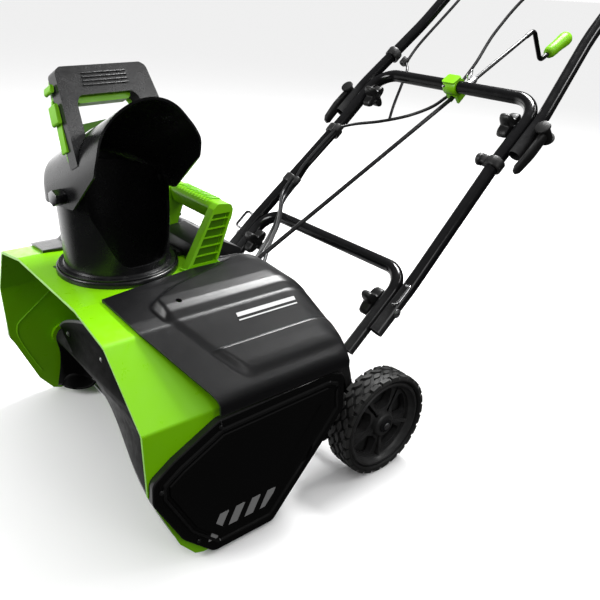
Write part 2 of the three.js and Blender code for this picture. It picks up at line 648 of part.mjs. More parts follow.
function middleHandle() {
  const { radius, x, waist, end, cross } = MIDDLE_TUBE;
  const half = [[x, end, 0], [x, 50, 0, 200], [waist, 325, 0, 200], [waist, cross, 0, 50]];
  const other = half.map(([a, b, c, r]) => [-a, b, c, r]).reverse();
  const pipe = tube([...half, ...other], radius, 12, 18, radius - TUBE_WALL);
  return cut(pipe, boltBore(0), boltBore(UPPER_TUBE.pivot));
}

function upperHandle() {
  const { radius, x, end, pivot, cross } = UPPER_TUBE;
  const half = [[x, end, 0], [x, 430, 0, 200], [196, 620, 0, 300], [184, cross, 0, 60]];
  const other = half.map(([a, b, c, r]) => [-a, b, c, r]).reverse();
  return cut(tube([...half, ...other], radius, 12, 18, radius - TUBE_WALL), boltBore(pivot));
}

function starKnob(s, inner, boltEnd) {
  const lobes = Array.from({ length: 24 }, (_, i) => {
    const angle = 2 * Math.PI * i / 24;
    const radius = KNOB.radius - 5 + 5 * Math.cos(4 * angle);
    return [s + radius * Math.cos(angle), radius * Math.sin(angle)];
  });
  const star = prismX(lobes, inner - KNOB.depth + 4, inner);
  const hub = rod('x', [0, s, 0], 9, inner - KNOB.depth, inner + 1.5, 12);
  return union(star, hub, rod('x', [0, s, 0], KNOB.bolt, inner, boltEnd, 12));
}

function camLever() {
  const s = UPPER_TUBE.pivot;
  const { x, r } = CAM;
  const body = prismZ(arc(x, s, r, 0, 342, 19), -13, 13);
  const lever = prismZ([[x - 8, s - 4], [x - 9, s - 60], [x - 9, s - 84], [x - 5, s - 90], [x + 2, s - 86],
    [x + 6, s - 40], [x + r - 1, s - 4]], -9, 9);
  return union(body, lever);
}

function lowerClip() {
  const x = MIDDLE_TUBE.x + MIDDLE_TUBE.radius;
  return tube([[x + 1, 12, 0], [x + 9, 12, 0, 3], [x + 9, 42, 0, 3], [x + 1, 42, 0]], 2.2, 6, 30);
}

function handleGrip() {
  return hoop('x', [0, UPPER_TUBE.cross, 0], UPPER_TUBE.radius + GAP, 15.5, -112, 112, 20);
}

function bailLever() {
  const half = [[171, 905, 10], [162, 905, 10, 4], [160, 940, 44, 10], [158, 985, 80, 26]];
  const path = [...half, ...half.map(([a, b, c, r]) => [-a, b, c, r]).reverse()];
  return tube(path, 4.5, 8, 24);
}

function switchBox() {
  const shell = prismZ([[120, 900], [150, 892], [150, 850], [128, 840], [92, 846], [84, 872], [92, 900]], -26, 22);
  const arm = box(149, 173, 856, 884, -9, 9);
  const clamp = hoop('y', [188, 0, 0], UPPER_TUBE.radius + 2.2, 17, 852, 888, 24);
  const slot = rod('z', [0, 0, 0], 8.4, 11, 40, 20);
  const seat = placed(toGeometry(slot), new THREE.Matrix4().setPosition(116, 872, 0));
  return cut(union(shell, arm, clamp), seat);
}

function startButton() {
  const cap = rod('z', [0, 0, 0], 7.8, 17, 29, 20);
  return placed(toGeometry(cap), new THREE.Matrix4().setPosition(116, 872, 0));
}

// ---------------------------------------------------------------- crank
// Rod group: y runs up the rod from where it leaves the body.
const rodAt = (y) => (y - ROD.y) / Math.cos(rad(ROD.slope));

function crankPinion() {
  const start = rodAt(TRANSFER_Y) + PINION_START;
  return turned([[0, start], [5, start], [8, start + 9], [8, start + 13], [0, start + 13]], 16, 'y');
}

const crankRod = () => rod('y', [0, 0, 0], ROD.radius, rodAt(TRANSFER_Y) + PINION_START + 13.4, rodAt(1052), 12);

function rodClip() {
  const s = rodAt(886);
  const collar = hoop('y', [0, 0, 0], ROD.radius + 0.2, 8, s - 14, s + 14, 16);
  const loop = tube([[0, s - 8, 7], [0, s - 8, 17, 5], [0, s + 12, 17, 5], [0, s + 12, 7]], 1.4, 6, 30);
  return union(collar, loop);
}

function crankArm() {
  const s = rodAt(1052) + GAP;
  return tube([[0, s, 0], [0, s + 26, 0, 12], [0, s + 34, -CRANK_THROW, 12], [0, s + 62, -CRANK_THROW]], 5, 10);
}

function crankGrip() {
  const s = rodAt(1052) + GAP + 62.6;
  const body = turned([[0, 0], [9, 0], [13, 8], [14, 40], [15.5, 66], [12, 76], [0, 78]], 20, 'y');
  return placed(toGeometry(body), new THREE.Matrix4().setPosition(0, s, -CRANK_THROW));
}

// Open hook under the upper crossbar: the rod lies in it from below.
function rodBracket() {
  const s = MIDDLE_TUBE.cross;
  const saddle = hoop('x', [0, s, 0], MIDDLE_TUBE.radius + GAP, 16, -16, 16, 24);
  const angle = rad(ROD.slope - HANDLE.tilt);
  const centreN = -20.6;
  const post = prismY([[-13, -30], [-6.4, -30], [-6.4, -14], [6.4, -14], [6.4, -30], [13, -30], [13, -11], [-13, -11]],
    s - 14, s + 14);
  const channel = turned([[0, -80], [ROD.radius + 1.4, -80], [ROD.radius + 1.4, 80], [0, 80]], 16, 'y');
  const place = new THREE.Matrix4().makeRotationX(angle).setPosition(0, s, centreN);
  const tubeRoom = rod('x', [0, s, 0], MIDDLE_TUBE.radius + GAP, -30, 30, 24);
  return cut(union(saddle, post), placed(toGeometry(channel), place), tubeRoom);
}

// ---------------------------------------------------------------- cables
function cable(points, radius = 3.4) {
  const curve = new THREE.CatmullRomCurve3(points.map((p) => new THREE.Vector3(...p)));
  const samples = curve.getPoints(3 * points.length);
  return toSolid(new THREE.ExtrudeGeometry(outline(ringOf(radius, 8)), {
    steps: samples.length - 1, extrudePath: new BentPath(samples), bevelEnabled: false,
  }));
}

// ---------------------------------------------------------------- assembly
function addBody() {
  add('auger_housing', augerHousing(), looks.green());
  add('rear_housing', rearHousing(), looks.satin());
  add('centre_cover', centreCover(), looks.satin());
  add('motor_cover', coverShell(), looks.satin());
  add('battery_cover', batteryCover(), looks.satin());
  add('battery_lid', batteryLid(), looks.satin());
  bothSides.forEach(([name, side]) => add(`side_panel_${name}`, sided(sidePanel(), side), looks.gloss()));
  add('scraper_bar', scraperBar(), looks.plate());
  add('carry_handle', carryHandle(), looks.green());
}

function addPower() {
  add('battery_pack', batteryPack(), looks.green());
  add('battery_latch', box(-162, -144, 256, 270, 316.4, 322), looks.satin());
  add('motor_body', motorBody(), looks.steel());
  add('motor_pulley', motorPulley(), looks.steel());
  add('drive_belt', driveBelt(), looks.rubber());
  add('control_board', controlBoard(), looks.board());
}

function addAuger() {
  add('auger_pulley', augerPulley(), looks.satin());
  add('auger_shaft', rod('x', [0, AUGER.y, AUGER.z], AUGER.shaft, -SIDE_X, PULLEY.x + PULLEY.width, 24),
    looks.steel());
  add('auger_paddle', augerPaddle(), looks.rubber());
  bothSides.forEach(([name, side]) => add(`auger_bearing_${name}`,
    sided(hoop('x', [0, AUGER.y, AUGER.z], AUGER.shaft + 0.2, 14, 250.4, SIDE_X - 0.2, 28), side),
    looks.steel()));
}

function addChute() {
  add('chute_tube', chuteTube(), looks.satin(), chuteGroup);
  add('chute_gear', chuteGear(), looks.satin(), chuteGroup);
  add('transfer_gear', transferGear(), looks.satin());
  add('chute_hood', chuteHood(), looks.satin(), chuteGroup);
  bothSides.forEach(([name, side]) => add(`hood_bolt_${name}`, hoodBolt(side), looks.steel(), chuteGroup));
  add('deflector_handle', deflectorHandle(), looks.satin(), chuteGroup);
  add('deflector_trigger', deflectorTrigger(), looks.green(), chuteGroup);
}

function addWheels() {
  add('wheel_axle', rod('x', [0, WHEEL.y, WHEEL.z], AXLE_RADIUS, -284, 284, 24), looks.steel());
  bothSides.forEach(([name, side]) => {
    add(`wheel_${name}`, sided(wheelDisc(), side), looks.satin());
    add(`tyre_${name}`, sided(tyre(), side), looks.tyre());
    add(`handle_bracket_${name}`, sided(handleBracket(), side), looks.satin());
  });
}

function addHandle() {
  add('lower_handle', lowerHandle(), looks.tube(), handleGroup);
  add('middle_handle', middleHandle(), looks.tube(), handleGroup);
  add('upper_handle', upperHandle(), looks.tube(), handleGroup);
  const lowerInner = LOWER_TUBE.x - LOWER_TUBE.radius - 2;
  const upperInner = MIDDLE_TUBE.waist - MIDDLE_TUBE.radius - 6;
  bothSides.forEach(([name, side]) => {
    add(`lower_knob_${name}`, sided(starKnob(0, lowerInner, 227), side), looks.satin(), handleGroup);
    add(`upper_knob_${name}`, sided(starKnob(UPPER_TUBE.pivot, upperInner, 232), side), looks.satin(),
      handleGroup);
    add(`cam_lever_${name}`, sided(camLever(), side), looks.satin(), handleGroup);
    add(`tube_clip_${name}`, sided(lowerClip(), side), looks.steel(), handleGroup);
  });
  add('handle_grip', handleGrip(), looks.rubber(), handleGroup);
  add('bail_lever', bailLever(), looks.tube(), handleGroup);
  add('switch_box', switchBox(), looks.satin(), handleGroup);
  add('start_button', startButton(), looks.green(), handleGroup);
}

function addCrank() {
  add('crank_pinion', crankPinion(), looks.satin(), rodGroup);
  add('crank_rod', crankRod(), looks.tube(), rodGroup);
  add('rod_clip', rodClip(), looks.steel(), rodGroup);
  add('crank_arm', crankArm(), looks.tube(), rodGroup);
  add('crank_grip', crankGrip(), looks.green(), rodGroup);
  add('rod_bracket', rodBracket(), looks.green(), handleGroup);
}

function addCables() {
  add('cable_middle', cable([
    [-152, 26, 14], [-160, 70, 20], [-184, 130, 8], [-187, 200, 0], [-180, 300, 0], [-166, 352, -16],
  ]), looks.rubber(), handleGroup);
  add('cable_upper', cable([
    [-172, 478, -22], [-182, 560, -17], [-172, 700, -17], [-168, 840, -17],
  ]), looks.rubber(), handleGroup);
  add('cable_chassis', cable([
    [-70, 338, 300], [-92, 380, 292], [-130, 440, 264], [-149, 490, 268],
  ]), looks.rubber());
}

addBody();
addPower();
addAuger();
addChute();
addWheels();
addHandle();
addCrank();
addCables();

export default machine;
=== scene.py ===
"""Looks for a walk-behind cordless snow thrower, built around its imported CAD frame.

Shapes are written in millimetres in the frame of the assembly they belong to and are placed in the
part's own frame, in metres, when a piece is made.
"""
import math

import bmesh
import bpy
from mathutils import Matrix, Vector


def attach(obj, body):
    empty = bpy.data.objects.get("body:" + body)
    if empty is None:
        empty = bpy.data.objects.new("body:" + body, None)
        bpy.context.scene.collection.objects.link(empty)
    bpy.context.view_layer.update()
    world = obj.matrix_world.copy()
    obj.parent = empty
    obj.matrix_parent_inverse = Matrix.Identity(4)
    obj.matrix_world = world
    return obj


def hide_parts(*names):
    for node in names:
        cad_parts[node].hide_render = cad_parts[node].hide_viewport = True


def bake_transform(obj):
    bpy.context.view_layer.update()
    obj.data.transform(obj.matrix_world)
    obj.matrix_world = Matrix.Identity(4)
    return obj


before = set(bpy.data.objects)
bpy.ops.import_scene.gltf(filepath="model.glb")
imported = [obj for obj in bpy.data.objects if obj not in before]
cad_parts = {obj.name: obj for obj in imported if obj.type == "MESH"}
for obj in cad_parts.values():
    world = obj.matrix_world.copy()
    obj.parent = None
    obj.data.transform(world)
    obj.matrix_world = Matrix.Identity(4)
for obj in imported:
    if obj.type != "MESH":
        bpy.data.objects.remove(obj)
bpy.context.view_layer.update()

# ------------------------------------------------------------------ frames, millimetres
SCRAPER_Y = 171
CHUTE_Y = 111.5
HANDLE_SLOPE, ROD_SLOPE = math.radians(41.27), math.radians(27.25)
ROD_Y = 349
BODY = Matrix.Translation((0, -SCRAPER_Y, 0))
CHUTE = Matrix.Translation((0, CHUTE_Y - SCRAPER_Y, 0)) @ Matrix.Rotation(math.radians(10), 4, "Z")
HANDLE = Matrix.Translation((0, 483 - SCRAPER_Y, 253.7)) @ Matrix.Rotation(HANDLE_SLOPE, 4, "X")
ROD = Matrix.Translation((0, ROD_Y - SCRAPER_Y, 289)) @ Matrix.Rotation(ROD_SLOPE, 4, "X")
METRES = Matrix.Scale(0.001, 4)

SIDE_X, PANEL_X, DECK_Z, REAR_Y, TUB_Z = 262, 276, 343, 334, 231
AUGER_Y, AUGER_Z = 106, 118
WHEEL_Y, WHEEL_Z = 425, 89
SHAFT, AXLE, CHUTE_AXIS = (0, AUGER_Y, AUGER_Z), (0, WHEEL_Y, WHEEL_Z), (0, CHUTE_Y, 0)
TRANSFER_Y = 226
GEAR_AXIS = (0, TRANSFER_Y, 0)
HOOD_BOLT, HOOD_BORE = (13, 0, 468), 4.4
LOWER_CROSSBAR, UPPER_JOINT, GRIP = 467, 404, 1010
BLADE_REACH, BLADE_HALF = 105, 246
SIDES = (("left", 1), ("right", -1))


# ------------------------------------------------------------------ materials
class Nodes:
    """A small wrapper that adds shader nodes and links them by name."""

    def __init__(self, material):
        material.use_nodes = True
        self.tree = material.node_tree
        self.tree.nodes.clear()

    def add(self, kind, inputs=None, **settings):
        node = self.tree.nodes.new(kind)
        for key, value in settings.items():
            setattr(node, key, value)
        for key, value in (inputs or {}).items():
            if isinstance(value, bpy.types.NodeSocket):
                self.tree.links.new(value, node.inputs[key])
            else:
                node.inputs[key].default_value = value
        return node

    def ranged(self, value, low, high, to_low, to_high):
        return self.add("ShaderNodeMapRange", {"Value": value, "From Min": low, "From Max": high,
                                               "To Min": to_low, "To Max": to_high}).outputs[0]

    def calculated(self, operation, a, b):
        return self.add("ShaderNodeMath", {0: a, 1: b}, operation=operation).outputs[0]

    def noise(self, place, scale, detail, rough):
        return self.add("ShaderNodeTexNoise", {"Vector": place, "Scale": scale, "Detail": detail,
                                               "Roughness": rough}).outputs[0]

    def mixed_colour(self, share, a, b):
        return self.add("ShaderNodeMix", {"Factor": share, 6: a, 7: b}, data_type="RGBA").outputs[2]

    def mixed_value(self, share, a, b):
        return self.add("ShaderNodeMix", {"Factor": share, 2: a, 3: b}, data_type="FLOAT").outputs[0]


def rgba(colour, factor=1.0):
    return (*[min(1.0, c * factor) for c in colour], 1.0)


def finish_material(name, colour, rough, metallic=0.0, grain=900.0, bump=0.12, dent=0.0,
                    vary=0.08, rough_vary=0.08, wear=0.0, wear_colour=(0.3, 0.3, 0.3), stretch=(1, 1, 1),
                    specular=0.5, scuff=0.0):
    """Moulded, painted, rubber or metal finish: fine grain bump, slow colour drift, uneven gloss,
    faint scuffs, and edges that have rubbed lighter."""
    material = bpy.data.materials.new(name)
    n = Nodes(material)
    place = n.add("ShaderNodeTexCoord").outputs["Object"]
    if stretch != (1, 1, 1):
        place = n.add("ShaderNodeMapping", {"Vector": place, "Scale": stretch}).outputs[0]
    slow = n.noise(place, 9.0, 4.0, 0.6)
    height = n.noise(place, grain, 2.0, 0.55)
    mottled = n.noise(place, 60.0, 5.0, 0.65)
    base = n.mixed_colour(slow, rgba(colour, 1 - vary), rgba(colour, 1 + vary))
    roughness = n.ranged(mottled, 0.3, 0.7, max(0.02, rough - rough_vary), min(1.0, rough + rough_vary))
    if scuff:
        streaks = n.add("ShaderNodeMapping", {"Vector": place, "Scale": (14, 90, 40)}).outputs[0]
        mask = n.ranged(n.noise(streaks, 6.0, 8.0, 0.75), 0.62, 0.74, 0.0, scuff)
        base = n.mixed_colour(mask, base, rgba(colour, 1.5))
        roughness = n.calculated("ADD", roughness, mask)
    if wear:
        edge = n.add("ShaderNodeNewGeometry").outputs["Pointiness"]
        rubbed = n.ranged(edge, 0.53, 0.6, 0.0, wear)
        base = n.mixed_colour(n.calculated("MULTIPLY", rubbed, mottled), base, rgba(wear_colour))
    if dent:
        height = n.calculated("ADD", height, n.calculated("MULTIPLY", slow, dent))
    relief = n.add("ShaderNodeBump", {"Strength": bump, "Distance": 0.0006, "Height": height})
    shader = n.add("ShaderNodeBsdfPrincipled", {
        "Base Color": base, "Roughness": roughness, "Metallic": metallic,
        "Specular IOR Level": specular, "Normal": relief.outputs[0]})
    n.add("ShaderNodeOutputMaterial", {"Surface": shader.outputs[0]})
    return material


FINISHES = {"green_sheet": dict(colour=(0.215, 0.60, 0.0), rough=0.33, grain=700, bump=0.03, dent=0.25,
                                vary=0.04, specular=0.4, wear=0.12, wear_colour=(0.5, 0.8, 0.2)),
            "green_plastic": dict(colour=(0.20, 0.57, 0.0), rough=0.36, grain=1100, bump=0.08, vary=0.05,
                                  specular=0.4, wear=0.15, wear_colour=(0.5, 0.8, 0.2)),
            # This dark green is painted shade: green darkened for the plate in the grip loop and the sheets
            # in the carry handle's pockets.
            "shaded_green": dict(colour=(0.05, 0.16, 0.0), rough=0.5, grain=900, bump=0.05, specular=0.2),
            "textured_black": dict(colour=(0.006, 0.006, 0.0065), rough=0.30, grain=2200, bump=0.16,
                                   rough_vary=0.025, wear=0.1, wear_colour=(0.1, 0.1, 0.1), vary=0.1),
            "satin_black": dict(colour=(0.006, 0.006, 0.0065), rough=0.26, grain=1200, bump=0.05,
                                rough_vary=0.03, wear=0.15, wear_colour=(0.12, 0.12, 0.12), dent=0.05,
                                vary=0.1), "gloss_black": dict(colour=(0.003, 0.003, 0.003), rough=0.09,
                                                               grain=500, bump=0.015, dent=0.3,
                                                               rough_vary=0.04, wear=0.2,
                                                               wear_colour=(0.2, 0.2, 0.2), scuff=0.05),
            "tube_black": dict(colour=(0.004, 0.004, 0.0045), rough=0.17, grain=800, bump=0.03,
                               rough_vary=0.05, wear=0.2, wear_colour=(0.2, 0.2, 0.2), dent=0.2),
            "moulded_black": dict(colour=(0.006, 0.006, 0.006), rough=0.38, grain=1300, bump=0.15,
                                  wear=0.3, wear_colour=(0.14, 0.14, 0.14)),
            "rubber": dict(colour=(0.003, 0.003, 0.003), rough=0.5, grain=600, bump=0.1, vary=0.2,
                           specular=0.03, wear=0.3, wear_colour=(0.15, 0.15, 0.15), dent=0.3, scuff=0.05),
            "rubber_edge": dict(colour=(0.13, 0.13, 0.13), rough=0.5, grain=900, bump=0.2, vary=0.2),
            "tyre": dict(colour=(0.007, 0.007, 0.007), rough=0.50, grain=700, bump=0.3, vary=0.25,
                         wear=0.4, wear_colour=(0.10, 0.10, 0.095), scuff=0.1),
            "foam": dict(colour=(0.008, 0.008, 0.008), rough=0.78, grain=1500, bump=0.9, vary=0.2),
            "cable": dict(colour=(0.012, 0.012, 0.013), rough=0.36, grain=900, bump=0.12, vary=0.15),
            "steel": dict(colour=(0.56, 0.56, 0.57), rough=0.32, metallic=1.0, grain=300, bump=0.15,
                          scuff=0.1), "dark_steel": dict(colour=(0.10, 0.10, 0.105), rough=0.2,
                                                         metallic=1.0, grain=500, bump=0.1, wear=0.8,
                                                         wear_colour=(0.6, 0.6, 0.6)),
            "bright_steel": dict(colour=(0.72, 0.72, 0.73), rough=0.16, metallic=1.0, grain=400, bump=0.06,
                                 rough_vary=0.06), "plate_steel": dict(colour=(0.32, 0.33, 0.34),
                                                                       rough=0.38, metallic=1.0, grain=250,
                                                                       bump=0.25, stretch=(0.15, 1, 1),
                                                                       scuff=0.2, vary=0.2),
            "cast": dict(colour=(0.42, 0.42, 0.43), rough=0.5, metallic=1.0, grain=800, bump=0.4),
            "board": dict(colour=(0.02, 0.14, 0.05), rough=0.35, grain=400, bump=0.1, vary=0.3),
            "mark_grey": dict(colour=(0.24, 0.24, 0.24), rough=0.35, grain=900, bump=0.04),
            "mark_white": dict(colour=(0.62, 0.62, 0.62), rough=0.4, grain=900, bump=0.04),
            "mark_dark": dict(colour=(0.03, 0.10, 0.01), rough=0.4, grain=900, bump=0.04),}
MATERIALS = {name: finish_material(name, **look) for name, look in FINISHES.items()}


# ------------------------------------------------------------------ outlines and paths
def arc(centre, radius, from_deg, to_deg, steps):
    return [(centre[0] + radius * math.cos(math.radians(from_deg + (to_deg - from_deg) * i / steps)),
             centre[1] + radius * math.sin(math.radians(from_deg + (to_deg - from_deg) * i / steps)))
            for i in range(steps + 1)]


def rounded(corners, steps=6):
    """Closed outline with its corners rounded: a corner is (a, b) or (a, b, radius)."""
    out = []
    count = len(corners)
    for i, corner in enumerate(corners):
        here = Vector(corner[:2])
        radius = corner[2] if len(corner) > 2 else 0
        if not radius:
            out.append(tuple(here))
            continue
        back = (Vector(corners[i - 1][:2]) - here).normalized()
        ahead = (Vector(corners[(i + 1) % count][:2]) - here).normalized()
        half = back.angle(ahead) / 2
        if half > math.radians(89.5):
            out.append(tuple(here))
            continue
        start = here + back * radius / math.tan(half)
        end = here + ahead * radius / math.tan(half)
        centre = here + (back + ahead).normalized() * radius / math.sin(half)
        a0 = math.atan2(*(start - centre).yx)
        a1 = math.atan2(*(end - centre).yx)
        sweep = (a1 - a0 + math.pi) % (2 * math.pi) - math.pi
        for k in range(steps + 1):
            a = a0 + sweep * k / steps
            out.append((centre.x + radius * math.cos(a), centre.y + radius * math.sin(a)))
    return out


def bent(corners, step_deg=6):
    """Open 3-D path with rounded corners: a corner is (x, y, z) or (x, y, z, radius)."""
    points = []
    for i, corner in enumerate(corners):
        here = Vector(corner[:3])
        radius = corner[3] if len(corner) > 3 else 0
        if not radius:
            points.append(here)
            continue
        back = (Vector(corners[i - 1][:3]) - here).normalized()
        ahead = (Vector(corners[i + 1][:3]) - here).normalized()
        half = back.angle(ahead) / 2
        start = here + back * radius / math.tan(half)
        centre = here + (back + ahead).normalized() * radius / math.sin(half)
        spin = ahead.cross(back).normalized()
        sweep = math.pi - 2 * half
        steps = max(1, round(sweep / math.radians(step_deg)))
        for k in range(steps + 1):
            points.append(centre + Matrix.Rotation(sweep * k / steps, 3, spin) @ (start - centre))
    return points


def smooth_path(points, steps=8):
    """Catmull-Rom curve through points."""
    p = [Vector(q) for q in points]
    p = [2 * p[0] - p[1], *p, 2 * p[-1] - p[-2]]
    out = []
    for i in range(1, len(p) - 2):
        for k in range(steps):
            t = k / steps
            out.append(0.5 * ((2 * p[i]) + (p[i + 1] - p[i - 1]) * t
                              + (2 * p[i - 1] - 5 * p[i] + 4 * p[i + 1] - p[i + 2]) * t ** 2
                              + (3 * p[i] - p[i - 1] - 3 * p[i + 1] + p[i + 2]) * t ** 3))
    out.append(p[-2])
    return out


# ------------------------------------------------------------------ raw meshes: (vertices, faces)
def join(*parts):
    verts, faces = [], []
    for v, f in parts:
        base = len(verts)
        verts += v
        faces += [[i + base for i in face] for face in f]
    return verts, faces


def moved(part, matrix):
    return [matrix @ Vector(v) for v in part[0]], part[1]


def mirrored(part):
    return [Vector((-v[0], v[1], v[2])) for v in map(Vector, part[0])], [f[::-1] for f in part[1]]


def loft(rings, closed=True, caps=True, loop=False):
    """Skin over rings of equal length. closed joins each ring to itself, loop joins last to first."""
    size = len(rings[0])
    verts = [Vector(p) for ring in rings for p in ring]
    faces = []
    spans = len(rings) if loop else len(rings) - 1
    for r in range(spans):
        a, b = r * size, (r + 1) % len(rings) * size
        for i in range(size if closed else size - 1):
            j = (i + 1) % size
            faces.append([a + i, a + j, b + j, b + i])
    if caps and not loop:
        faces.append(list(range(size))[::-1])
        faces.append([len(verts) - size + i for i in range(size)])
    return verts, faces


def prism(outline, low, high, axis="z"):
    """Outline in the plane square to axis, (y, z), (x, z) or (x, y), drawn out from low to high."""
    place = {"x": lambda a, b, c: (c, a, b), "y": lambda a, b, c: (a, c, b), "z": lambda a, b, c: (a, b, c)}
    at = place[axis]
    return loft([[at(a, b, c) for a, b in outline] for c in (low, high)])


def turned(profile, segments=64, axis="z", centre=(0, 0, 0)):
    """Solid of revolution: profile is a closed loop of (radius, height), or starts and ends on the axis."""
    on_axis = profile[0][0] == 0 and profile[-1][0] == 0
    rings = []
    for k in range(segments):
        a = 2 * math.pi * k / segments
        c, s = math.cos(a), math.sin(a)
        spun = {"z": lambda r, h: (r * c, r * s, h), "x": lambda r, h: (h, r * c, r * s),
                "y": lambda r, h: (r * s, h, r * c)}[axis]
        rings.append([Vector(spun(r, h)) + Vector(centre) for r, h in profile])
    return loft(rings, closed=not on_axis, caps=False, loop=True)


def cylinder(radius, low, high, segments, axis, centre=(0, 0, 0)):
    return turned([(0, low), (radius, low), (radius, high), (0, high)], segments, axis, centre)


def sweep(points, radius, sides=20, bore=0, caps=True):
    """Round bar or pipe along a path. radius may be a list with one value per point."""
    points = [Vector(p) for p in points]
    tangents = [(points[min(i + 1, len(points) - 1)] - points[max(i - 1, 0)]).normalized()
                for i in range(len(points))]
    normal = tangents[0].orthogonal().normalized()
    outer, inner = [], []
    for i, (p, t) in enumerate(zip(points, tangents)):
        normal = (normal - t * normal.dot(t)).normalized()
        side = t.cross(normal)
        r = radius[i] if isinstance(radius, (list, tuple)) else radius

        def ring(size):
            return [p + normal * size * math.cos(2 * math.pi * k / sides)
                    + side * size * math.sin(2 * math.pi * k / sides) for k in range(sides)]
        outer.append(ring(r))
        if bore:
            inner.append(ring(bore))
    if not bore:
        return loft(outer, caps=caps)
    return loft([*outer, *inner[::-1]], loop=True)


def box_part(x0, x1, y0, y1, z0, z1):
    return prism([(x0, y0), (x1, y0), (x1, y1), (x0, y1)], z0, z1)


def grid(rows):
    """Open sheet over a list of rows of points."""
    return loft(rows, closed=False, caps=False)


# ------------------------------------------------------------------ temporary objects and booleans
def temp(part, weld=0.01):
    mesh = bpy.data.meshes.new("work")
    mesh.from_pydata([tuple(v) for v in part[0]], [], [list(f) for f in part[1]])
    bm = bmesh.new()
    bm.from_mesh(mesh)
    bmesh.ops.remove_doubles(bm, verts=bm.verts, dist=weld)
    bmesh.ops.dissolve_degenerate(bm, edges=bm.edges, dist=weld)
    bmesh.ops.recalc_face_normals(bm, faces=bm.faces)
    bm.to_mesh(mesh)
    bm.free()
    obj = bpy.data.objects.new("work", mesh)
    bpy.context.scene.collection.objects.link(obj)
    return obj


def drop(obj):
    mesh = obj.data
    bpy.data.objects.remove(obj)
    bpy.data.meshes.remove(mesh)


def bake(obj):
    """Applies an object's modifiers to its mesh."""
    bpy.context.view_layer.update()
    shaped = bpy.data.meshes.new_from_object(obj.evaluated_get(bpy.context.evaluated_depsgraph_get()))
    old = obj.data
    obj.modifiers.clear()
    obj.data = shaped
    bpy.data.meshes.remove(old)
    return obj


def boolean(base, operation, *others):
    for other in others:
        step = base.modifiers.new("boolean", "BOOLEAN")
        step.operation, step.solver, step.object = operation, "EXACT", other
        bake(base)
        drop(other)
    return base


def cut(base, *parts):
    return boolean(base, "DIFFERENCE", *[temp(p) if isinstance(p, tuple) else p for p in parts])


def fuse(base, *parts):
    return boolean(base, "UNION", *[temp(p) if isinstance(p, tuple) else p for p in parts])


def keep(base, *parts):
    return boolean(base, "INTERSECT", *[temp(p) if isinstance(p, tuple) else p for p in parts])


def mirror_object(obj):
    """Mirrors a work object from the left side to the right."""
    obj.data.transform(Matrix.Scale(-1, 4, (1, 0, 0)))
    obj.data.flip_normals()


def thickened(obj, thickness, offset, even=False):
    """Gives a sheet its thickness: offset -1 adds it inwards, 0 both ways, 1 outwards."""
    mod = obj.modifiers.new("sheet", "SOLIDIFY")
    mod.thickness, mod.offset, mod.use_even_offset = thickness, offset, even
    return bake(obj)


def relaxed(obj, voxel, rounds):
    """Rounds every edge of a closed solid: voxel remesh, then smoothing."""
    mod = obj.modifiers.new("voxel", "REMESH")
    mod.mode, mod.voxel_size, mod.use_smooth_shade = "VOXEL", voxel, True
    bake(obj)
    mod = obj.modifiers.new("smooth", "SMOOTH")
    mod.factor, mod.iterations = 0.5, rounds
    return bake(obj)


# ------------------------------------------------------------------ finished pieces
def soften(obj, width, segments=2, angle=32):
    mod = obj.modifiers.new("edges", "BEVEL")
    mod.width, mod.segments = width * 0.001, segments
    mod.limit_method, mod.angle_limit = "ANGLE", math.radians(angle)
    mod.harden_normals, mod.use_clamp_overlap = True, True
    mod.miter_outer = "MITER_ARC"


def dress(obj, material):
    """Smooth faces and a single finish."""
    obj.data.polygons.foreach_set("use_smooth", [True] * len(obj.data.polygons))
    obj.data.materials.clear()
    obj.data.materials.append(MATERIALS[material])
    obj.data.polygons.foreach_set("material_index", [0] * len(obj.data.polygons))


def piece(name, part, place, material, body, replaces=(), bevel=0, segments=2, angle=32, sharp=40):
    """A finished, shaded piece from a raw mesh or a work object in millimetres."""
    obj = temp(part) if isinstance(part, tuple) else part
    obj.name = obj.data.name = name
    obj.data.transform(METRES @ place)
    dress(obj, material)
    if bevel:
        soften(obj, bevel, segments, angle)
    else:
        obj.data.set_sharp_from_angle(angle=math.radians(sharp))
    if body:
        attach(obj, body)
    if replaces:
        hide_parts(*replaces)
    return obj


def polish(node, material, width):
    """Carries a CAD node over with softened edges and a finish."""
    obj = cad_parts[node]
    dress(obj, material)
    weld = obj.modifiers.new("weld", "WELD")
    weld.merge_threshold = 0.00002
    flat = obj.modifiers.new("flat", "DECIMATE")
    flat.decimate_type, flat.angle_limit = "DISSOLVE", math.radians(1.5)
    soften(obj, width)


# ------------------------------------------------------------------ auger housing
def front_outline(offset):
    """Front view of the green housing: flat deck, mild shoulder, steep shoulder, upright ends."""
    right = [(104, DECK_Z + offset, 12), (187.6 + 0.5 * offset, 327 + 0.9 * offset, 13),
             (SIDE_X + offset, 234 + 0.4 * offset, 9)]
    return rounded([(-SIDE_X - offset, -10), *[(-x, z, r) for x, z, r in right[::-1]], *right,
                    (SIDE_X + offset, -10)])


def scroll(radius, top):
    """Auger scroll from under the mouth up to a leaning back wall."""
    lean = 7.5
    run = arc((AUGER_Y, AUGER_Z), radius, -63, lean, 40)
    y, z = run[-1]
    return [*run, (y - (top - z) * math.tan(math.radians(lean)), top)]


def scroll_room():
    """Space the auger works in; its ends close in with a wide fillet where the scroll meets the plates."""
    turns = [math.pi / 2 * k / 10 for k in range(11)]
    rings = [(-258 + 30 * (1 - math.cos(a)), 30 * (1 - math.sin(a))) for a in turns]
    rings += [(-x, inset) for x, inset in rings[::-1]]
    return loft([[(x, y, z) for y, z in [(-20, 360), (-20, -20), (158 - inset * 0.6, -20),
                                         *scroll(112 - inset, 360)]] for x, inset in rings])


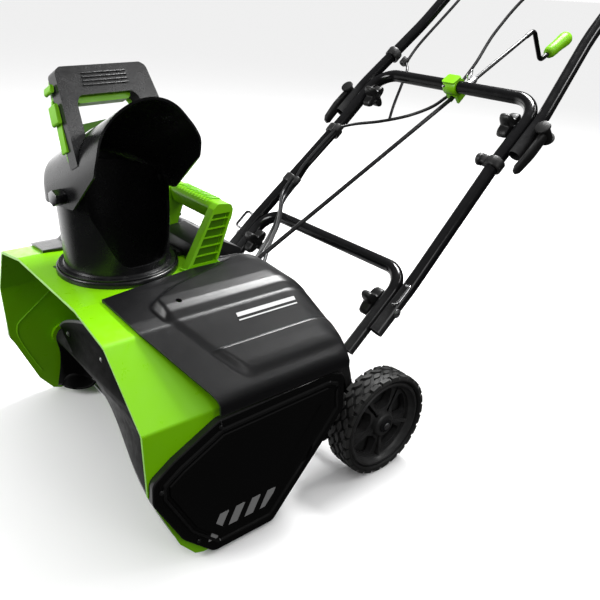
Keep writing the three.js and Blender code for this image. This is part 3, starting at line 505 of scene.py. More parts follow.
def build_housing():
    side = [(0, DECK_Z), (0, 327), (8, 234), (11, 140), (54, 37), (77, 8), (90, 3), (148, 3),
            *scroll(115, DECK_Z - 4), (238, DECK_Z - 4), (238, DECK_Z)]
    body = keep(temp(prism(front_outline(0), -1, 240, "y")), prism(side, -SIDE_X, SIDE_X, "x"))
    room = keep(temp(prism(front_outline(-4), -30, 240, "y")), scroll_room())
    body = cut(body, room)
    lip = cut(keep(temp(prism(front_outline(-0.4), 0.4, 6, "y")), box_part(-261, 261, -5, 10, 322, 343)),
              prism(front_outline(-5), -30, 40, "y"))
    bosses = [cylinder(22, low, high, 48, "x", SHAFT) for low, high in ((250, 261), (-261, -250))]
    body = fuse(body, lip, *bosses)
    body = cut(body, cylinder(14.4, -300, 300, 48, "x", SHAFT),
               cylinder(76.5, 320, 346, 96, "z", CHUTE_AXIS), cylinder(5, 330, 360, 24, "z", GEAR_AXIS),
               box_part(-33, 33, 188, 239, DECK_Z + 0.01, 360))
    piece("auger_housing_shell", body, BODY, "green_sheet", "chassis", ["auger_housing"],
          bevel=0.9, angle=28)
    seam = sweep(smooth_path([(-257.4, y, z) for y, z in [(96, 212), (60, 184), (32, 162), (26, 150),
                                                          (27, 132), (40, 96), (60, 52)]], 8), 1.5, 8)
    piece("end_plate_seam", seam, BODY, "green_sheet", "chassis")
    ring = cut(temp(turned([(85.1, DECK_Z + 0.2), (87.4, DECK_Z + 0.2), (87.6, DECK_Z + 1),
                            (87.2, DECK_Z + 7), (86.4, DECK_Z + 8.6), (85.4, DECK_Z + 9),
                            (85.1, DECK_Z + 8.6)], 128, "z", CHUTE_AXIS)),
               cylinder(34, 330, 360, 48, "z", GEAR_AXIS))
    piece("chute_base_ring", ring, BODY, "satin_black", "chassis", sharp=50)


# ------------------------------------------------------------------ side covers
def ramp(x, table):
    """Linear interpolation in a table of (x, value)."""
    if x <= table[0][0]:
        return table[0][1]
    for (x0, v0), (x1, v1) in zip(table, table[1:]):
        if x <= x1:
            return v0 + (v1 - v0) * (x - x0) / (x1 - x0)
    return table[-1][1]


def ease(t):
    t = min(1.0, max(0.0, t))
    return t * t * (3 - 2 * t)


def inside_distance(point, outline):
    """Distance from a point to a closed outline, positive inside."""
    p = Vector(point)
    best, inside = 1e9, False
    for (ax, ay), (bx, by) in zip(outline, outline[1:] + outline[:1]):
        a, edge = Vector((ax, ay)), Vector((bx - ax, by - ay))
        t = min(1.0, max(0.0, (p - a).dot(edge) / edge.length_squared))
        best = min(best, (p - a - edge * t).length)
        if (ay > p.y) != (by > p.y) and p.x < (bx - ax) * (p.y - ay) / (by - ay) + ax:
            inside = not inside
    return best if inside else -best


COVER_BASE = [(77, 347.6), (104.5, 347.3), (170, 336), (189, 331), (205, 317), (266, 261), (273, 253),
              (PANEL_X, 245)]
COVER_POD = [(77, 357.5), (112, 357.2), (150, 352.5), (168, 348.5), (178, 343), (188, 332), (197, 320),
             (207, 309), (216, 302), (222, 298), (224.5, 297.2), (228, 299.6), (231, 299.2), (238, 293.5),
             (250, 282), (262, 267.5), (PANEL_X, 246)]
COVER_REAR = [(77, 283), (94, 277), (151, 277), (178, 284), (213, 281), (236, 276), (251, 270), (266, 256),
              (PANEL_X, 240)]
COVER_FRONT = [(104.5, 38), (171, 45), (190, 48), (216, 67), (243, 87), (263, 102), (PANEL_X, 111)]
POD_PLAN = rounded([(70, 262, 0), (98, 192, 90), (118, 128, 30), (146, 84, 16), (182, 87, 22),
                    (222, 121, 60), (266, 164, 30), (266, 345, 0), (70, 345, 0)], 8)


def cover_inner(y):
    return ramp(y, [(38, 104.5), (135, 86), (190, 77.5), (400, 77.5)])


def cover_height(x, y):
    base, pod = ramp(x, COVER_BASE), ramp(x, COVER_POD)
    share = ease((inside_distance((x, y), POD_PLAN) + 1.0) / ramp(x, [(112, 19), (150, 11)]))
    top = base + (max(pod, base + 2.2) - base) * share
    start = ramp(x, [(77, 262), (150, 268), (213, 284), (PANEL_X, 300)])
    if y > start:
        low = min(ramp(x, COVER_REAR), top - 1)
        t = min(1.0, (y - start) / (REAR_Y - start))
        top = low + (top - low) * math.sqrt(max(0.0, 1 - t * t))
    return top


def cover_part():
    """Outer sheet of a side cover as a grid: across from the inner edge to the lower side edge."""
    xs = sorted({*(77 + i * (PANEL_X - 77) / 90 for i in range(91)), *(219 + i for i in range(14))})
    rows = []
    steps = 96
    for i, x in enumerate(xs):
        y0 = ramp(x, COVER_FRONT)
        row = []
        for k in range(steps + 1):
            share = 0.35 * (1 - math.cos(math.pi / 2 * k / steps)) + 0.65 * k / steps
            y = y0 + (REAR_Y - y0) * share
            inner = cover_inner(y)
            px = max(x, inner) if x < 104.5 else x
            row.append((px, y, cover_height(px, y)))
        last = row[-1]
        row += [(last[0], REAR_Y, last[2] + (TUB_Z - last[2]) * k / 8) for k in range(1, 9)]
        rows.append(row)
    edge = rows[-1]
    for k in range(1, 5):
        rows.append([(p[0], p[1], p[2] + (TUB_Z - p[2]) * k / 4) if p[2] > TUB_Z else p for p in edge])
    inner_rows = [[(p[0], p[1], p[2] - 9 * (1 - k / 2)) for p in rows[0][:steps + 1]]
                  + rows[0][steps + 1:] for k in range(2)]
    return grid(inner_rows + rows)


def build_cover(node, side):
    obj = thickened(temp(cover_part(), weld=0.05), 3.0, -1, even=True)
    screw = cylinder(4.2, 330, 360, 32, "z", (165, 118, 0))
    obj = cut(obj, screw)
    if side < 0:
        obj = cut(obj, box_part(116, 190, 150, 286, 300, 400))
        mirror_object(obj)
    piece(f"{node}_shell", obj, BODY, "textured_black", "chassis", [node], sharp=50)


# ------------------------------------------------------------------ side panels
PANEL = [(111, 223, 14), (44, 188, 30), (13, 166, 16), (12, 134, 16), (54, 53, 30), (101, 5, 16),
         (204, 5, 12), (238, 45, 20), (298, 114, 30), (333, 158, 10), (328, 218, 10), (300, 229, 12)]


def inset(corners, distance):
    """Outline with every edge moved in, corners kept sharp but carrying a smaller radius."""
    out = []
    count = len(corners)
    for i in range(count):
        a, b, c = (Vector(corners[j][:2]) for j in ((i - 1) % count, i, (i + 1) % count))
        d0, d1 = (b - a).normalized(), (c - b).normalized()
        n0, n1 = Vector((-d0.y, d0.x)), Vector((-d1.y, d1.x))
        p, q = a + n0 * distance, b + n1 * distance
        cross = d0.x * d1.y - d0.y * d1.x
        t = ((q - p).x * d1.y - (q - p).y * d1.x) / cross
        point = p + d0 * t
        out.append((point.x, point.y, max(1.5, corners[i][2] - distance * 0.7)))
    return out


def panel_part():
    steps = [(0, 262.5), (0, 271.5), (1.5, 273.2), (13, 273.2), (14.5, 275.6), (18, 275.8), (19.5, 273.6),
             (22.5, 273.4), (24, 275.8), (27, 276), (32, 275.2), (46, 274.6)]
    return loft([[(x, y, z) for y, z in rounded(inset(PANEL, d) if d else PANEL, 6)] for d, x in steps])


def build_panel(node, side):
    obj = cut(temp(panel_part()), prism([(318, 206), (150, 100), (262, 92)], 273.6, 290, "x"))
    screws = [turned([(0, 270), (3.6, 270), (3.6, 274.4), (2.6, 275.4), (0, 275.4)], 20, "x", (0, y, z))
              for y, z in ((112, 213), (24, 150), (76, 40), (300, 212))]
    obj = fuse(obj, *screws)
    if side < 0:
        mirror_object(obj)
    piece(f"{node}_shell", obj, BODY, "gloss_black", "chassis", [node], sharp=28)


# ------------------------------------------------------------------ chute and hood
def build_chute():
    wall = turned([(69.5, 301), (72.5, 301), (75, 345), (75, 351.2), (83.6, 351.2), (84.5, 352),
                   (84.5, 354), (83.6, 354.8), (77.5, 354.8), (75.4, 357), (75, 362), (79.9, 494),
                   (76.4, 494), (71.5, 362)], 128)
    mouth = rounded([(-33, 367, 16), (33, 367, 16), (46, 386, 30), (66, 440, 30), (73, 520), (-73, 520),
                     (-66, 440, 30), (-46, 386, 30)], 8)
    slope = prism([(-140, 483), (-60, 483), (30, 472), (140, 450), (140, 600), (-140, 600)], -120, 120, "y")
    tube = cut(temp(wall), prism(mouth, 12, 120, "x"), slope,
               cylinder(HOOD_BORE, -120, 120, 24, "y", HOOD_BOLT))
    piece("chute_barrel", tube, CHUTE, "satin_black", "chute", ["chute_tube"], bevel=0.6)


def vault(shrink):
    """Leaning half-round roof over upright walls, closed behind by the barrel's curve."""
    across, deep = 86 - shrink, 74 - shrink
    slope = math.radians(28)
    rings = []
    for u in (-200, 220):
        w = 515 + math.tan(slope) * (u - 94)
        arch = [(across * math.cos(math.radians(a)), w + deep / math.cos(slope) * math.sin(math.radians(a)))
                for a in range(0, 181, 5)]
        rings.append([(u, v, h) for v, h in [(across, 300), *arch, (-across, 300)]])
    roof = temp(loft(rings))
    plan = [(180, 110), (0, 110)] + [(0, 91 - shrink), *arc((0, 0), 91 - shrink, 92, 268, 60)] + \
        [(0, -91 + shrink), (0, -110), (180, -110)]
    return keep(roof, prism(plan, 420 - (20 if shrink else 0), 680, "z"))


def build_hood():
    outer = relaxed(vault(0), 2.6, 14)
    inner = relaxed(vault(3.2), 2.6, 14)
    trim = rounded([(34, 454, 5), (88, 509, 12), (94, 535, 24), (87, 566, 40), (97, 640), (-120, 640),
                    (-120, 449), (-60, 450), (20, 453)], 8)
    outer = keep(outer, prism(trim, -130, 130, "y"))
    shell = cut(outer, inner, cylinder(HOOD_BORE, -120, 120, 24, "y", HOOD_BOLT))
    piece("chute_hood_shell", shell, CHUTE, "satin_black", "hood", ["chute_hood"], sharp=35)


GRIP_FACE = (Matrix.Translation((-7.5, 0, 626)) @ Matrix.Rotation(-math.radians(27.8), 4, "Y")
             @ Matrix.Rotation(math.pi / 2, 4, "Z") @ Matrix.Rotation(math.pi / 2, 4, "X"))


def clear_of_hood(obj, gap):
    """Cuts away what would reach into the hood or the barrel below it."""
    room = relaxed(vault(-gap), 3.0, 10)
    below = temp(box_part(-150, 150, -150, 150, 300, 500))
    for tool in (room, below):
        tool.data.transform(GRIP_FACE.inverted())
    return cut(obj, room, below)


def build_grip_loop():
    """Loop handle behind the hood: black front, green liner, green plate in painted shade, ribs along the
    top bar.
    """
    place = CHUTE @ GRIP_FACE
    ring = rounded([(-84, -130), (84, -130), (69.5, -5, 10), (61, 0, 8), (-61, 0, 8), (-69.5, -5, 10)], 5)
    opening = rounded([(-60, -112), (-53, -48, 12), (-46, -38, 8), (34, -38, 8), (42, -46, 12),
                       (50, -112)], 5)
    front = cut(temp(prism(ring, -19, 0, "z")), prism(opening, -40, 10, "z"))
    step = cut(temp(prism([(x * 0.955, y - 3 if y > -100 else y) for x, y in ring], -27, -18.6, "z")),
               prism([(x * 0.97, y + 1) for x, y in opening], -50, 10, "z"))
    piece("grip_loop_front", clear_of_hood(front, 0.8), place, "satin_black", "hood",
          ["deflector_handle"], bevel=2.2, segments=4)
    piece("grip_loop_liner", clear_of_hood(step, 0.8), place, "green_plastic", "hood",
          ["deflector_handle"], bevel=0.8)
    ribs = [sweep(bent([(x0, -10.5 - 5.2 * i, 0.1), (x1, -10.5 - 5.2 * i, 0.1)]), 1.5, 12)
            for i, (x0, x1) in enumerate([(-33, 33), (-34, 33), (-35, 33), (-36, 32)])]
    piece("grip_loop_ribs", join(*ribs), place, "satin_black", "hood")
    # The plate is a green part in shadow, coloured dark green as painted shade.
    plate = prism(rounded([(-62, -112), (-56, -70, 4), (48, -62, 4), (56, -112)], 4), -26, -22, "z")
    piece("grip_loop_plate", clear_of_hood(temp(plate), 0.8), place, "shaded_green", "hood",
          bevel=0.6)


def build_trigger():
    """Squeeze bar under the top of the loop, with two tabs outside its left leg."""
    place = CHUTE @ GRIP_FACE
    bar = prism(rounded([(-45, -34, 3), (33, -34, 3), (36, -42, 4), (30, -46, 3), (-44, -46, 3),
                         (-50, -42, 4)], 4), -22, -8, "z")
    rail_outline = rounded([(-70.5, -24, 2), (-66, -22, 2), (-80, -104, 2), (-84, -104, 2)], 3)
    rail = prism(rail_outline, -25, -12, "z")
    tabs = [prism(rounded([(-77 - d, top, 3), (-72 - d, top, 3), (-75 - d, low, 3), (-81 - d, low, 3)], 4),
                  -26, -9, "z") for d, top, low in ((-1, -18, -29), (2.5, -42, -68))]
    arm = prism([(-74, -36), (-46, -37), (-46, -43), (-76, -42)], -24, -20, "z")
    piece("deflector_trigger_bar", clear_of_hood(fuse(temp(bar), rail, arm, *tabs), 1.5), place,
          "green_plastic", "trigger", ["deflector_trigger"], bevel=0.8)


# ------------------------------------------------------------------ carry handle
def build_carry_handle():
    profile = rounded([(185, 343.4), (236, 343.4), (266, 424, 9), (262, 433, 5), (240, 436, 6),
                       (231, 428, 8)], 5)
    legs = [temp(prism(profile, *sorted((58 * s, 73 * s)), "x")) for s in (1, -1)]
    bar = prism(rounded([(238, 407, 4), (262, 407, 5), (266, 424, 9), (262, 433, 5), (240, 436, 6),
                         (233, 428, 6)], 5), -72.5, 72.5, "x")
    body = fuse(legs[0], legs[1], bar)
    pockets = []
    for i in range(6):
        z0 = 349 + 13 * i
        z1 = z0 + (7 if i == 5 else 11.4)
        front = [185 + (z - 343) * 0.52 + 6 for z in (z0, z1)]
        rear = [236 + (z - 343) * 0.36 - 4 for z in (z0, z1)]
        for side in (1, -1):
            pockets.append(prism([(front[0], z0), (rear[0], z0), (rear[1], z1), (front[1], z1)],
                                 *sorted((66 * side, 80 * side)), "x"))
    body = cut(body, *pockets)
    piece("carry_handle_frame", body, BODY, "green_plastic", "chassis", ["carry_handle"],
          bevel=0.9)
    # Dark green sheets set inside the rib pockets: painted shade that makes the pockets look deep.
    web = [prism([(194, 348), (230, 348), (255, 419), (232, 422)], *sorted((69.2 * side, 69.9 * side)), "x")
           for side in (1, -1)]
    piece("carry_handle_pocket_shade", join(*web), BODY, "shaded_green", "chassis")
    ribs = [sweep([(x, 236, 432.5), (x, 243, 436.6), (x, 258, 435.2), (x, 264, 430)], 1.3, 8)
            for x in range(-44, 45, 8)]
    rims = [sweep(bent([(64 * s, 178, 344.6), (80 * s, 186, 344.6, 6), (80 * s, 240, 344.6, 4),
                        (60 * s, 240, 344.6)]), 1.6, 8) for s in (1, -1)]
    piece("carry_handle_ribs", join(*ribs), BODY, "green_plastic", "chassis")
    piece("deck_border", join(*rims), BODY, "green_sheet", "chassis")


def build_brackets():
    """Slim plates behind the body that carry the axle and the feet of the lower tubes."""
    outline = rounded([(334.6, 66), (334.6, 205, 4), (352, 214, 8), (378, 200, 10), (392, 150, 20),
                       (440, 110, 12), (443, 84, 14), (428, 72, 10), (404, 72, 10)], 5)
    window = rounded([(350, 104, 8), (350, 180, 8), (368, 178, 8), (378, 148, 14), (404, 118, 8),
                      (392, 100, 6)], 4)
    for name, side in SIDES:
        plate = temp(prism(outline, *sorted((203 * side, 231 * side)), "x"))
        ends = (209 * side, 240 * side)
        body = cut(plate, prism(window, *sorted(ends), "x"),
                   cylinder(6.4, *sorted((190 * side, 240 * side)), 32, "x", AXLE))
        piece(f"handle_bracket_{name}_plate", body, BODY, "moulded_black", "chassis",
              [f"handle_bracket_{name}"], bevel=1.2)


# ------------------------------------------------------------------ wheels
def tread_block(angle, x, outline, low, high, taper=0.82):
    """Raised block on a tyre: outline in (arc mm, axial mm) round a point at angle and x."""
    rings = []
    for radius, scale in ((low, 1.0), (high - 0.7, taper + 0.06), (high, taper)):
        ring = []
        for a, b in outline:
            turn = angle + a * scale / 86
            ring.append((x + b * scale, WHEEL_Y + radius * math.cos(turn),
                         WHEEL_Z + radius * math.sin(turn)))
        rings.append(ring)
    return loft(rings)


def tyre_part():
    wall = [(76.6, 240), (78, 238.2), (80.6, 237), (83.2, 237.8), (85, 239.6), (85.7, 242.5), (85.9, 259.5),
            (85.7, 276.5), (85, 279.4), (83.2, 281.2), (80.6, 282), (78, 280.8), (76.6, 279), (76.4, 259.5)]
    parts = [turned(wall, 96, "x", AXLE)]
    leaf = [(-9.5, -1.6), (-4.2, -5.2), (2.6, -4.4), (9.5, 1.6), (4.2, 5.2), (-2.6, 4.4)]
    wedge = [(-9.0, -6.2), (8.6, -6.2), (8.8, 5.0), (0.6, 2.0), (-6.6, 6.0)]
    count = 26
    for i in range(count):
        turn = 2 * math.pi * i / count
        half = math.pi / count
        parts.append(tread_block(turn, 259.5, leaf, 84, 89))
        parts.append(tread_block(turn + half, 253.2 - 4, [(a, -b) for a, b in leaf][::-1], 84, 88.9))
        parts.append(tread_block(turn + half, 265.8 + 4, leaf, 84, 88.9))
        parts.append(tread_block(turn, 243.6, [(a, b) for a, b in wedge], 82.5, 88.2))
        parts.append(tread_block(turn, 275.4, [(a, -b) for a, b in wedge][::-1], 82.5, 88.2))
    return join(*parts)


def wheel_part():
    """Moulded wheel: rim, hub and five forked spokes, drawn as an outline with windows."""
    rim = temp(turned([(66, 242), (73, 240.6), (76, 241.6), (76, 277.4), (73, 279.6), (70.5, 279),
                       (67.5, 272.5), (64, 270), (63.5, 265), (64, 246)], 96, "x", AXLE))
    disc = temp(turned([(6.3, 250), (64.8, 255), (64.8, 264), (40, 267), (22, 269), (20, 277), (17.5, 279),
                        (6.3, 279)], 96, "x", AXLE))
    hub = temp(turned([(6.3, 239.5), (16, 239.5), (18, 241), (19, 270), (6.3, 270)], 64, "x",
                      AXLE))
    windows = []
    for i in range(5):
        mid = math.radians(72 * i + 18)
        sector = rounded([(59, -24, 7), (60.5, 0, 0), (59, 24, 7), (30, 15, 6), (25.5, 0, 4),
                          (30, -15, 6)], 5)
        windows.append(prism([(WHEEL_Y + a * math.cos(mid) - b * math.sin(mid),
                               WHEEL_Z + a * math.sin(mid) + b * math.cos(mid)) for a, b in sector],
                             230, 290, "x"))
    disc = cut(disc, *windows)
    back = temp(turned([(10, 246), (65.5, 246), (65.5, 248.4), (10, 248.4)], 96, "x", AXLE))
    body = fuse(rim, disc, hub, back)
    ribs = []
    for i in range(5):
        mid = math.radians(72 * i + 54)
        strip = [(20, -2.2), (64.5, -2.2), (64.5, 2.2), (20, 2.2)]
        ribs.append(prism([(WHEEL_Y + a * math.cos(mid) - b * math.sin(mid),
                            WHEEL_Z + a * math.sin(mid) + b * math.cos(mid)) for a, b in strip],
                          250, 272, "x"))
    return fuse(body, *ribs)


def build_wheels():
    for name, side in SIDES:
        part = tyre_part()
        piece(f"tyre_{name}_tread", part if side > 0 else mirrored(part), BODY, "tyre", f"{name}_wheel",
              [f"tyre_{name}"], sharp=38)
        wheel = wheel_part()
        if side < 0:
            mirror_object(wheel)
        piece(f"wheel_{name}_disc", wheel, BODY, "moulded_black", f"{name}_wheel",
              [f"wheel_{name}"], bevel=0.7)
        cap = turned([(0, 279.2), (11, 279.2), (12, 280), (11.6, 281.4), (8, 282.6), (5, 283.2),
                      (0, 283.4)], 32, "x", AXLE)
        piece(f"hub_cap_{name}", cap if side > 0 else mirrored(cap), BODY, "satin_black", f"{name}_wheel",
              sharp=30)


# ------------------------------------------------------------------ handle tubes
def doubled(half):
    """Path that runs on from its first half to the mirrored one."""
    return half + [(-p[0], *p[1:]) for p in half[::-1]]


def build_handles():
    lower = bent(doubled([(191, -95, 0), (191, 70, 0, 42)]))
    middle = bent(doubled([(214.5, -45, 0), (214.5, 50, 0, 260), (198, 325, 0, 260),
                           (198, LOWER_CROSSBAR, 0, 50)]), 5)
    upper = bent(doubled([(221.8, 345, 0), (221.8, 430, 0, 200), (196, 620, 0, 300), (184, GRIP, 0, 60)]),
                 5)
    for name, path, radius, bore, body in (("lower", lower, 11.2, 9.4, "chassis"),
                                           ("middle", middle, 12, 10.2, "middle"),
                                           ("upper", upper, 11.5, 9.8, "upper")):
        piece(f"{name}_handle_tube", sweep(path, radius, 28, bore=bore), HANDLE, "tube_black", body,
              [f"{name}_handle"])
    sleeve = [(15.5 - (1.2 if i in (0, 28) else 0) + 0.35 * math.cos(math.pi * i), -112 + 8 * i)
              for i in range(29)]
    foam = turned([(11.9, -112), *[(r, x) for r, x in sleeve], (11.9, 112)], 40, "x", (0, GRIP, 0))
    piece("handle_grip_foam", foam, HANDLE, "foam", "upper", ["handle_grip"], sharp=60)
    bail = bent(doubled([(171, 905, 10), (162, 905, 10, 4), (160, 940, 44, 14), (158, 985, 80, 26)]))
    piece("bail_bar", sweep(bail, 4.5, 16), HANDLE, "tube_black", "bail", ["bail_lever"])


def star(s, inner, depth, bolt_end):
    """Four-lobed knob with a domed face and a bolt, on the +X side."""
    rings = []
    for x, scale in ((inner - 0.2, 0.55), (inner - 0.2, 0.86), (inner - 1.6, 0.96), (inner - 4, 1.0),
                     (inner - depth + 6, 1.0), (inner - depth + 3, 0.95), (inner - depth + 1.6, 0.86),
                     (inner - depth + 1.2, 0.6), (inner - depth + 2.6, 0.38), (inner - depth + 2.2, 0.3)):
        ring = []
        for i in range(64):
            a = 2 * math.pi * i / 64
            lobe = 0.5 + 0.5 * math.cos(4 * a)
            radius = (13.0 + 14.0 * lobe ** 1.1) * scale
            ring.append((x, s + radius * math.cos(a), radius * math.sin(a)))
        rings.append(ring)
    body = loft(rings)
    bolt = turned([(0, inner - 1), (3, inner - 1), (3, bolt_end - 1), (2.2, bolt_end), (0, bolt_end)], 20,
                  "x", (0, s, 0))
    return body, bolt


def build_knobs():
    for name, side in SIDES:
        for level, s, inner, end in (("lower", 0, 179, 229), ("upper", UPPER_JOINT, 181, 233)):
            body, bolt = star(s, inner, 22, end)
            node = f"{level}_knob_{name}"
            rider = f"{level}_{name}_knob"
            flip = (lambda p: p) if side > 0 else mirrored
            piece(f"{node}_star", flip(body), HANDLE, "moulded_black", rider, [node],
                  sharp=32)
            piece(f"{node}_bolt", flip(bolt), HANDLE, "bright_steel", rider, [node])
            washer = turned([(3.4, end - 3.2), (7.5, end - 3.2), (7.5, end - 1.6), (3.4, end - 1.6)], 28,
                            "x", (0, s, 0))
            if level == "lower":
                nut = turned([(3.4, end - 1.5), (5.6, end - 1.5), (5.6, end - 0.3), (3.4, end - 0.3)], 6,
                             "x", (0, s, 0))
                piece(f"{node}_washer", flip(join(washer, nut)), HANDLE, "steel", rider,
                      sharp=30)


def build_cams():
    """Cam levers outside the upper joint: a round cam with a flat cap and a curved blade."""
    for name, side in SIDES:
        s, x = UPPER_JOINT, 244.2
        cam = turned([(0, -17), (11.6, -17), (12.8, -16.4), (13.2, -15), (13.2, -12.8), (10.5, -12.4),
                      (10.5, 12.4), (13.2, 12.8), (13.2, 15), (12.8, 16.4), (11.6, 17), (0, 17)], 40, "z",
                     (x, s, 0))
        rings = []
        for t in range(13):
            along = s - 2 - 88 * t / 12
            bow = 2.5 * math.sin(math.pi * t / 12)
            wide = (12.5 - 3.5 * abs(t / 12 - 0.5)) * (0.55 if t == 12 else 1)
            thick = (6.4 - 1.6 * t / 12) * (0.6 if t == 12 else 1)
            centre = x + 1.5 - 3.5 * t / 12 + bow
            rings.append([(centre + thick * math.cos(a), along, wide * math.sin(a))
                          for a in [2 * math.pi * k / 20 for k in range(20)]])
        blade = temp(loft(rings))
        body = fuse(temp(cam), blade)
        if side < 0:
            mirror_object(body)
        piece(f"cam_lever_{name}_blade", body, HANDLE, "moulded_black", f"{name}_cam",
              [f"cam_lever_{name}"], sharp=40)


# ------------------------------------------------------------------ clips, cables, switch
def strap(x, s, radius, lug, width=18):
    """Cable clip round a tube: a split band with a lug that holds the cable."""
    band = turned([(radius + 0.1, -width / 2), (radius + 3.4, -width / 2),
                   (radius + 4.2, -width / 2 + 1.4), (radius + 4.2, width / 2 - 1.4),
                   (radius + 3.4, width / 2), (radius + 0.1, width / 2)], 36, "y", (x, s, 0))
    lug_ring = turned([(3.6, -width / 2 + 1), (7.4, -width / 2 + 1), (8.2, -width / 2 + 2.4),
                       (8.2, width / 2 - 2.4), (7.4, width / 2 - 1), (3.6, width / 2 - 1)],
                      28, "y", (x + lug[0], s, lug[1]))
    return join(band, lug_ring)


def build_cables():
    handle_to_body = BODY.inverted() @ HANDLE

    def at(x, s, n):
        return handle_to_body @ Vector((x, s, n))

    runs = {"cable_lower_a": ([(22, 333, 262), (10, 348, 272), (-30, 398, 292), (-90, 478, 312),
                               at(-176, 105, 8), at(-183, 154, 10)], 3.6),
            "cable_lower_b": ([(48, 333, 280), (34, 350, 292), (-14, 400, 308), (-84, 474, 322),
                               at(-178, 110, 16), at(-186, 154, 17)], 3.2),
            "cable_lower_c": ([(0, 333, 256), (-12, 346, 262), (-60, 410, 276), (-120, 490, 296),
                               at(-180, 104, 0), at(-186, 154, -2)], 3.0)}
    for name, (points, radius) in runs.items():
        path = smooth_path(points, 10)
        obj = piece(name, sweep(path, radius, 14), BODY, "cable", None,
                    ["cable_chassis", "cable_middle"])
        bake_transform(obj)
    mid = smooth_path([(-183, 154, 10), (-186, 190, 14), (-184, 240, 15), (-179, 297, 15)], 8)
    mid_b = smooth_path([(-186, 154, -2), (-189, 200, 2), (-185, 250, 6), (-180, 296, 9)], 8)
    piece("cable_middle_run", join(sweep(mid, 3.3, 14), sweep(mid_b, 3.0, 14)), HANDLE, "cable", "middle")
    sleeve = smooth_path([(-182, 150, 5), (-187, 175, 8), (-187, 205, 9)], 6)
    piece("cable_sleeve", sweep(sleeve, [6.4] + [6.9] * (len(sleeve) - 2) + [6.4], 18), HANDLE, "rubber",
          "middle")
    hang = smooth_path([(-179, 297, 15), (-168, 330, -6), (-140, 372, -34), (-96, 408, -44),
                        (-52, 436, -38), (-22, 455, -24), (-12, 462, -18)], 10)
    piece("cable_hanging_run", sweep(hang, 3.2, 14), HANDLE, "cable", "middle")
    drop_run = smooth_path([(-128, 384, -38), (-141, 420, -33), (-148, 462, -22), (-160, 500, -18),
                            (-180, 522, -19)], 10)
    obj = piece("cable_branch", sweep(drop_run, 3.0, 14), HANDLE, "cable", None,
                ["cable_upper"])
    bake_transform(obj)
    high = smooth_path([(-180, 522, -19), (-184, 580, -18), (-176, 700, -18), (-171, 820, -17),
                        (-160, 870, -16), (-120, 890, -10)], 10)
    high_b = smooth_path([(-120, 890, -10), (-60, 905, -22), (20, 892, -26), (84, 872, -16)], 10)
    rise = smooth_path([(-14, 462, -22), (-24, 490, -34), (-26, 560, -34), (-34, 650, -30), (-20, 760, -26),
                        (40, 850, -26), (90, 872, -18)], 12)
    obj = piece("cable_rising_run", sweep(rise, 3.2, 14), HANDLE, "cable", None)
    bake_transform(obj)
    piece("cable_upper_run", join(sweep(high, 3.0, 14), sweep(high_b, 3.0, 14)), HANDLE, "cable", "upper")


def build_clips():
    middle = [strap(-206, 154, 12, (22, 6)), strap(-199.5, 297, 12, (18, 12)),
              strap(199, 318, 12, (-17, 6))]
    piece("middle_tube_clips", join(*middle), HANDLE, "moulded_black", "middle", sharp=35)
    stud = turned([(0, -12), (5, -12), (9.6, -9), (11, -7), (11, -1), (9.6, 1), (7, 3), (7, 9), (0, 9)],
                  28, "x", (176, 318, 6))
    piece("middle_clip_stud", stud, HANDLE, "moulded_black", "middle", sharp=35)
    piece("upper_tube_clips", join(strap(-208, 522, 11.5, (24, -16))), HANDLE, "moulded_black", "upper",
          sharp=35)
    for name, side in SIDES:
        wire = bent([(216, 8, 11), (229, 8, 18, 5), (229, 46, 18, 5), (216, 46, 11)], 10)
        part = sweep(wire, 2.6, 14)
        piece(f"tube_clip_{name}_wire", part if side > 0 else mirrored(part), HANDLE,
              "bright_steel" if side > 0 else "dark_steel", "middle", [f"tube_clip_{name}"])


def build_switch():
    shell = rounded([(120, 900, 8), (151, 892, 10), (151, 850, 8), (128, 840, 8), (92, 846, 10),
                     (84, 872, 14), (92, 900, 8)], 5)
    box = cut(temp(prism(shell, -26, 22, "z")), cylinder(8.4, 11, 40, 40, "z",
                                                       (116, 872, 0)))
    collar = turned([(8.4, 21), (12, 21), (12, 24), (11, 25.5), (8.4, 25.5)], 40, "z", (116, 872, 0))
    arm = box_part(149, 173, 857, 883, -9, 9)
    clamp = turned([(13.2, 852), (16.4, 852), (17, 853), (17, 887), (16.4, 888), (13.2, 888)], 48, "y",
                   (188, 0, 0))
    body = fuse(box, collar, arm, clamp)
    piece("switch_box_case", body, HANDLE, "moulded_black", "upper", ["switch_box"],
          bevel=1.4, segments=3)
    cap = turned([(0, 17), (7.8, 17), (7.8, 27), (6.6, 28.6), (3, 28), (0, 27.6)], 40, "z", (116, 872, 0))
    piece("start_button_cap", cap, HANDLE, "green_plastic", "button", ["start_button"],
          sharp=50)


# ------------------------------------------------------------------ crank
def rod_at(y):
    """Distance along the crank rod at this y."""
    return (y - ROD_Y) / math.cos(ROD_SLOPE)


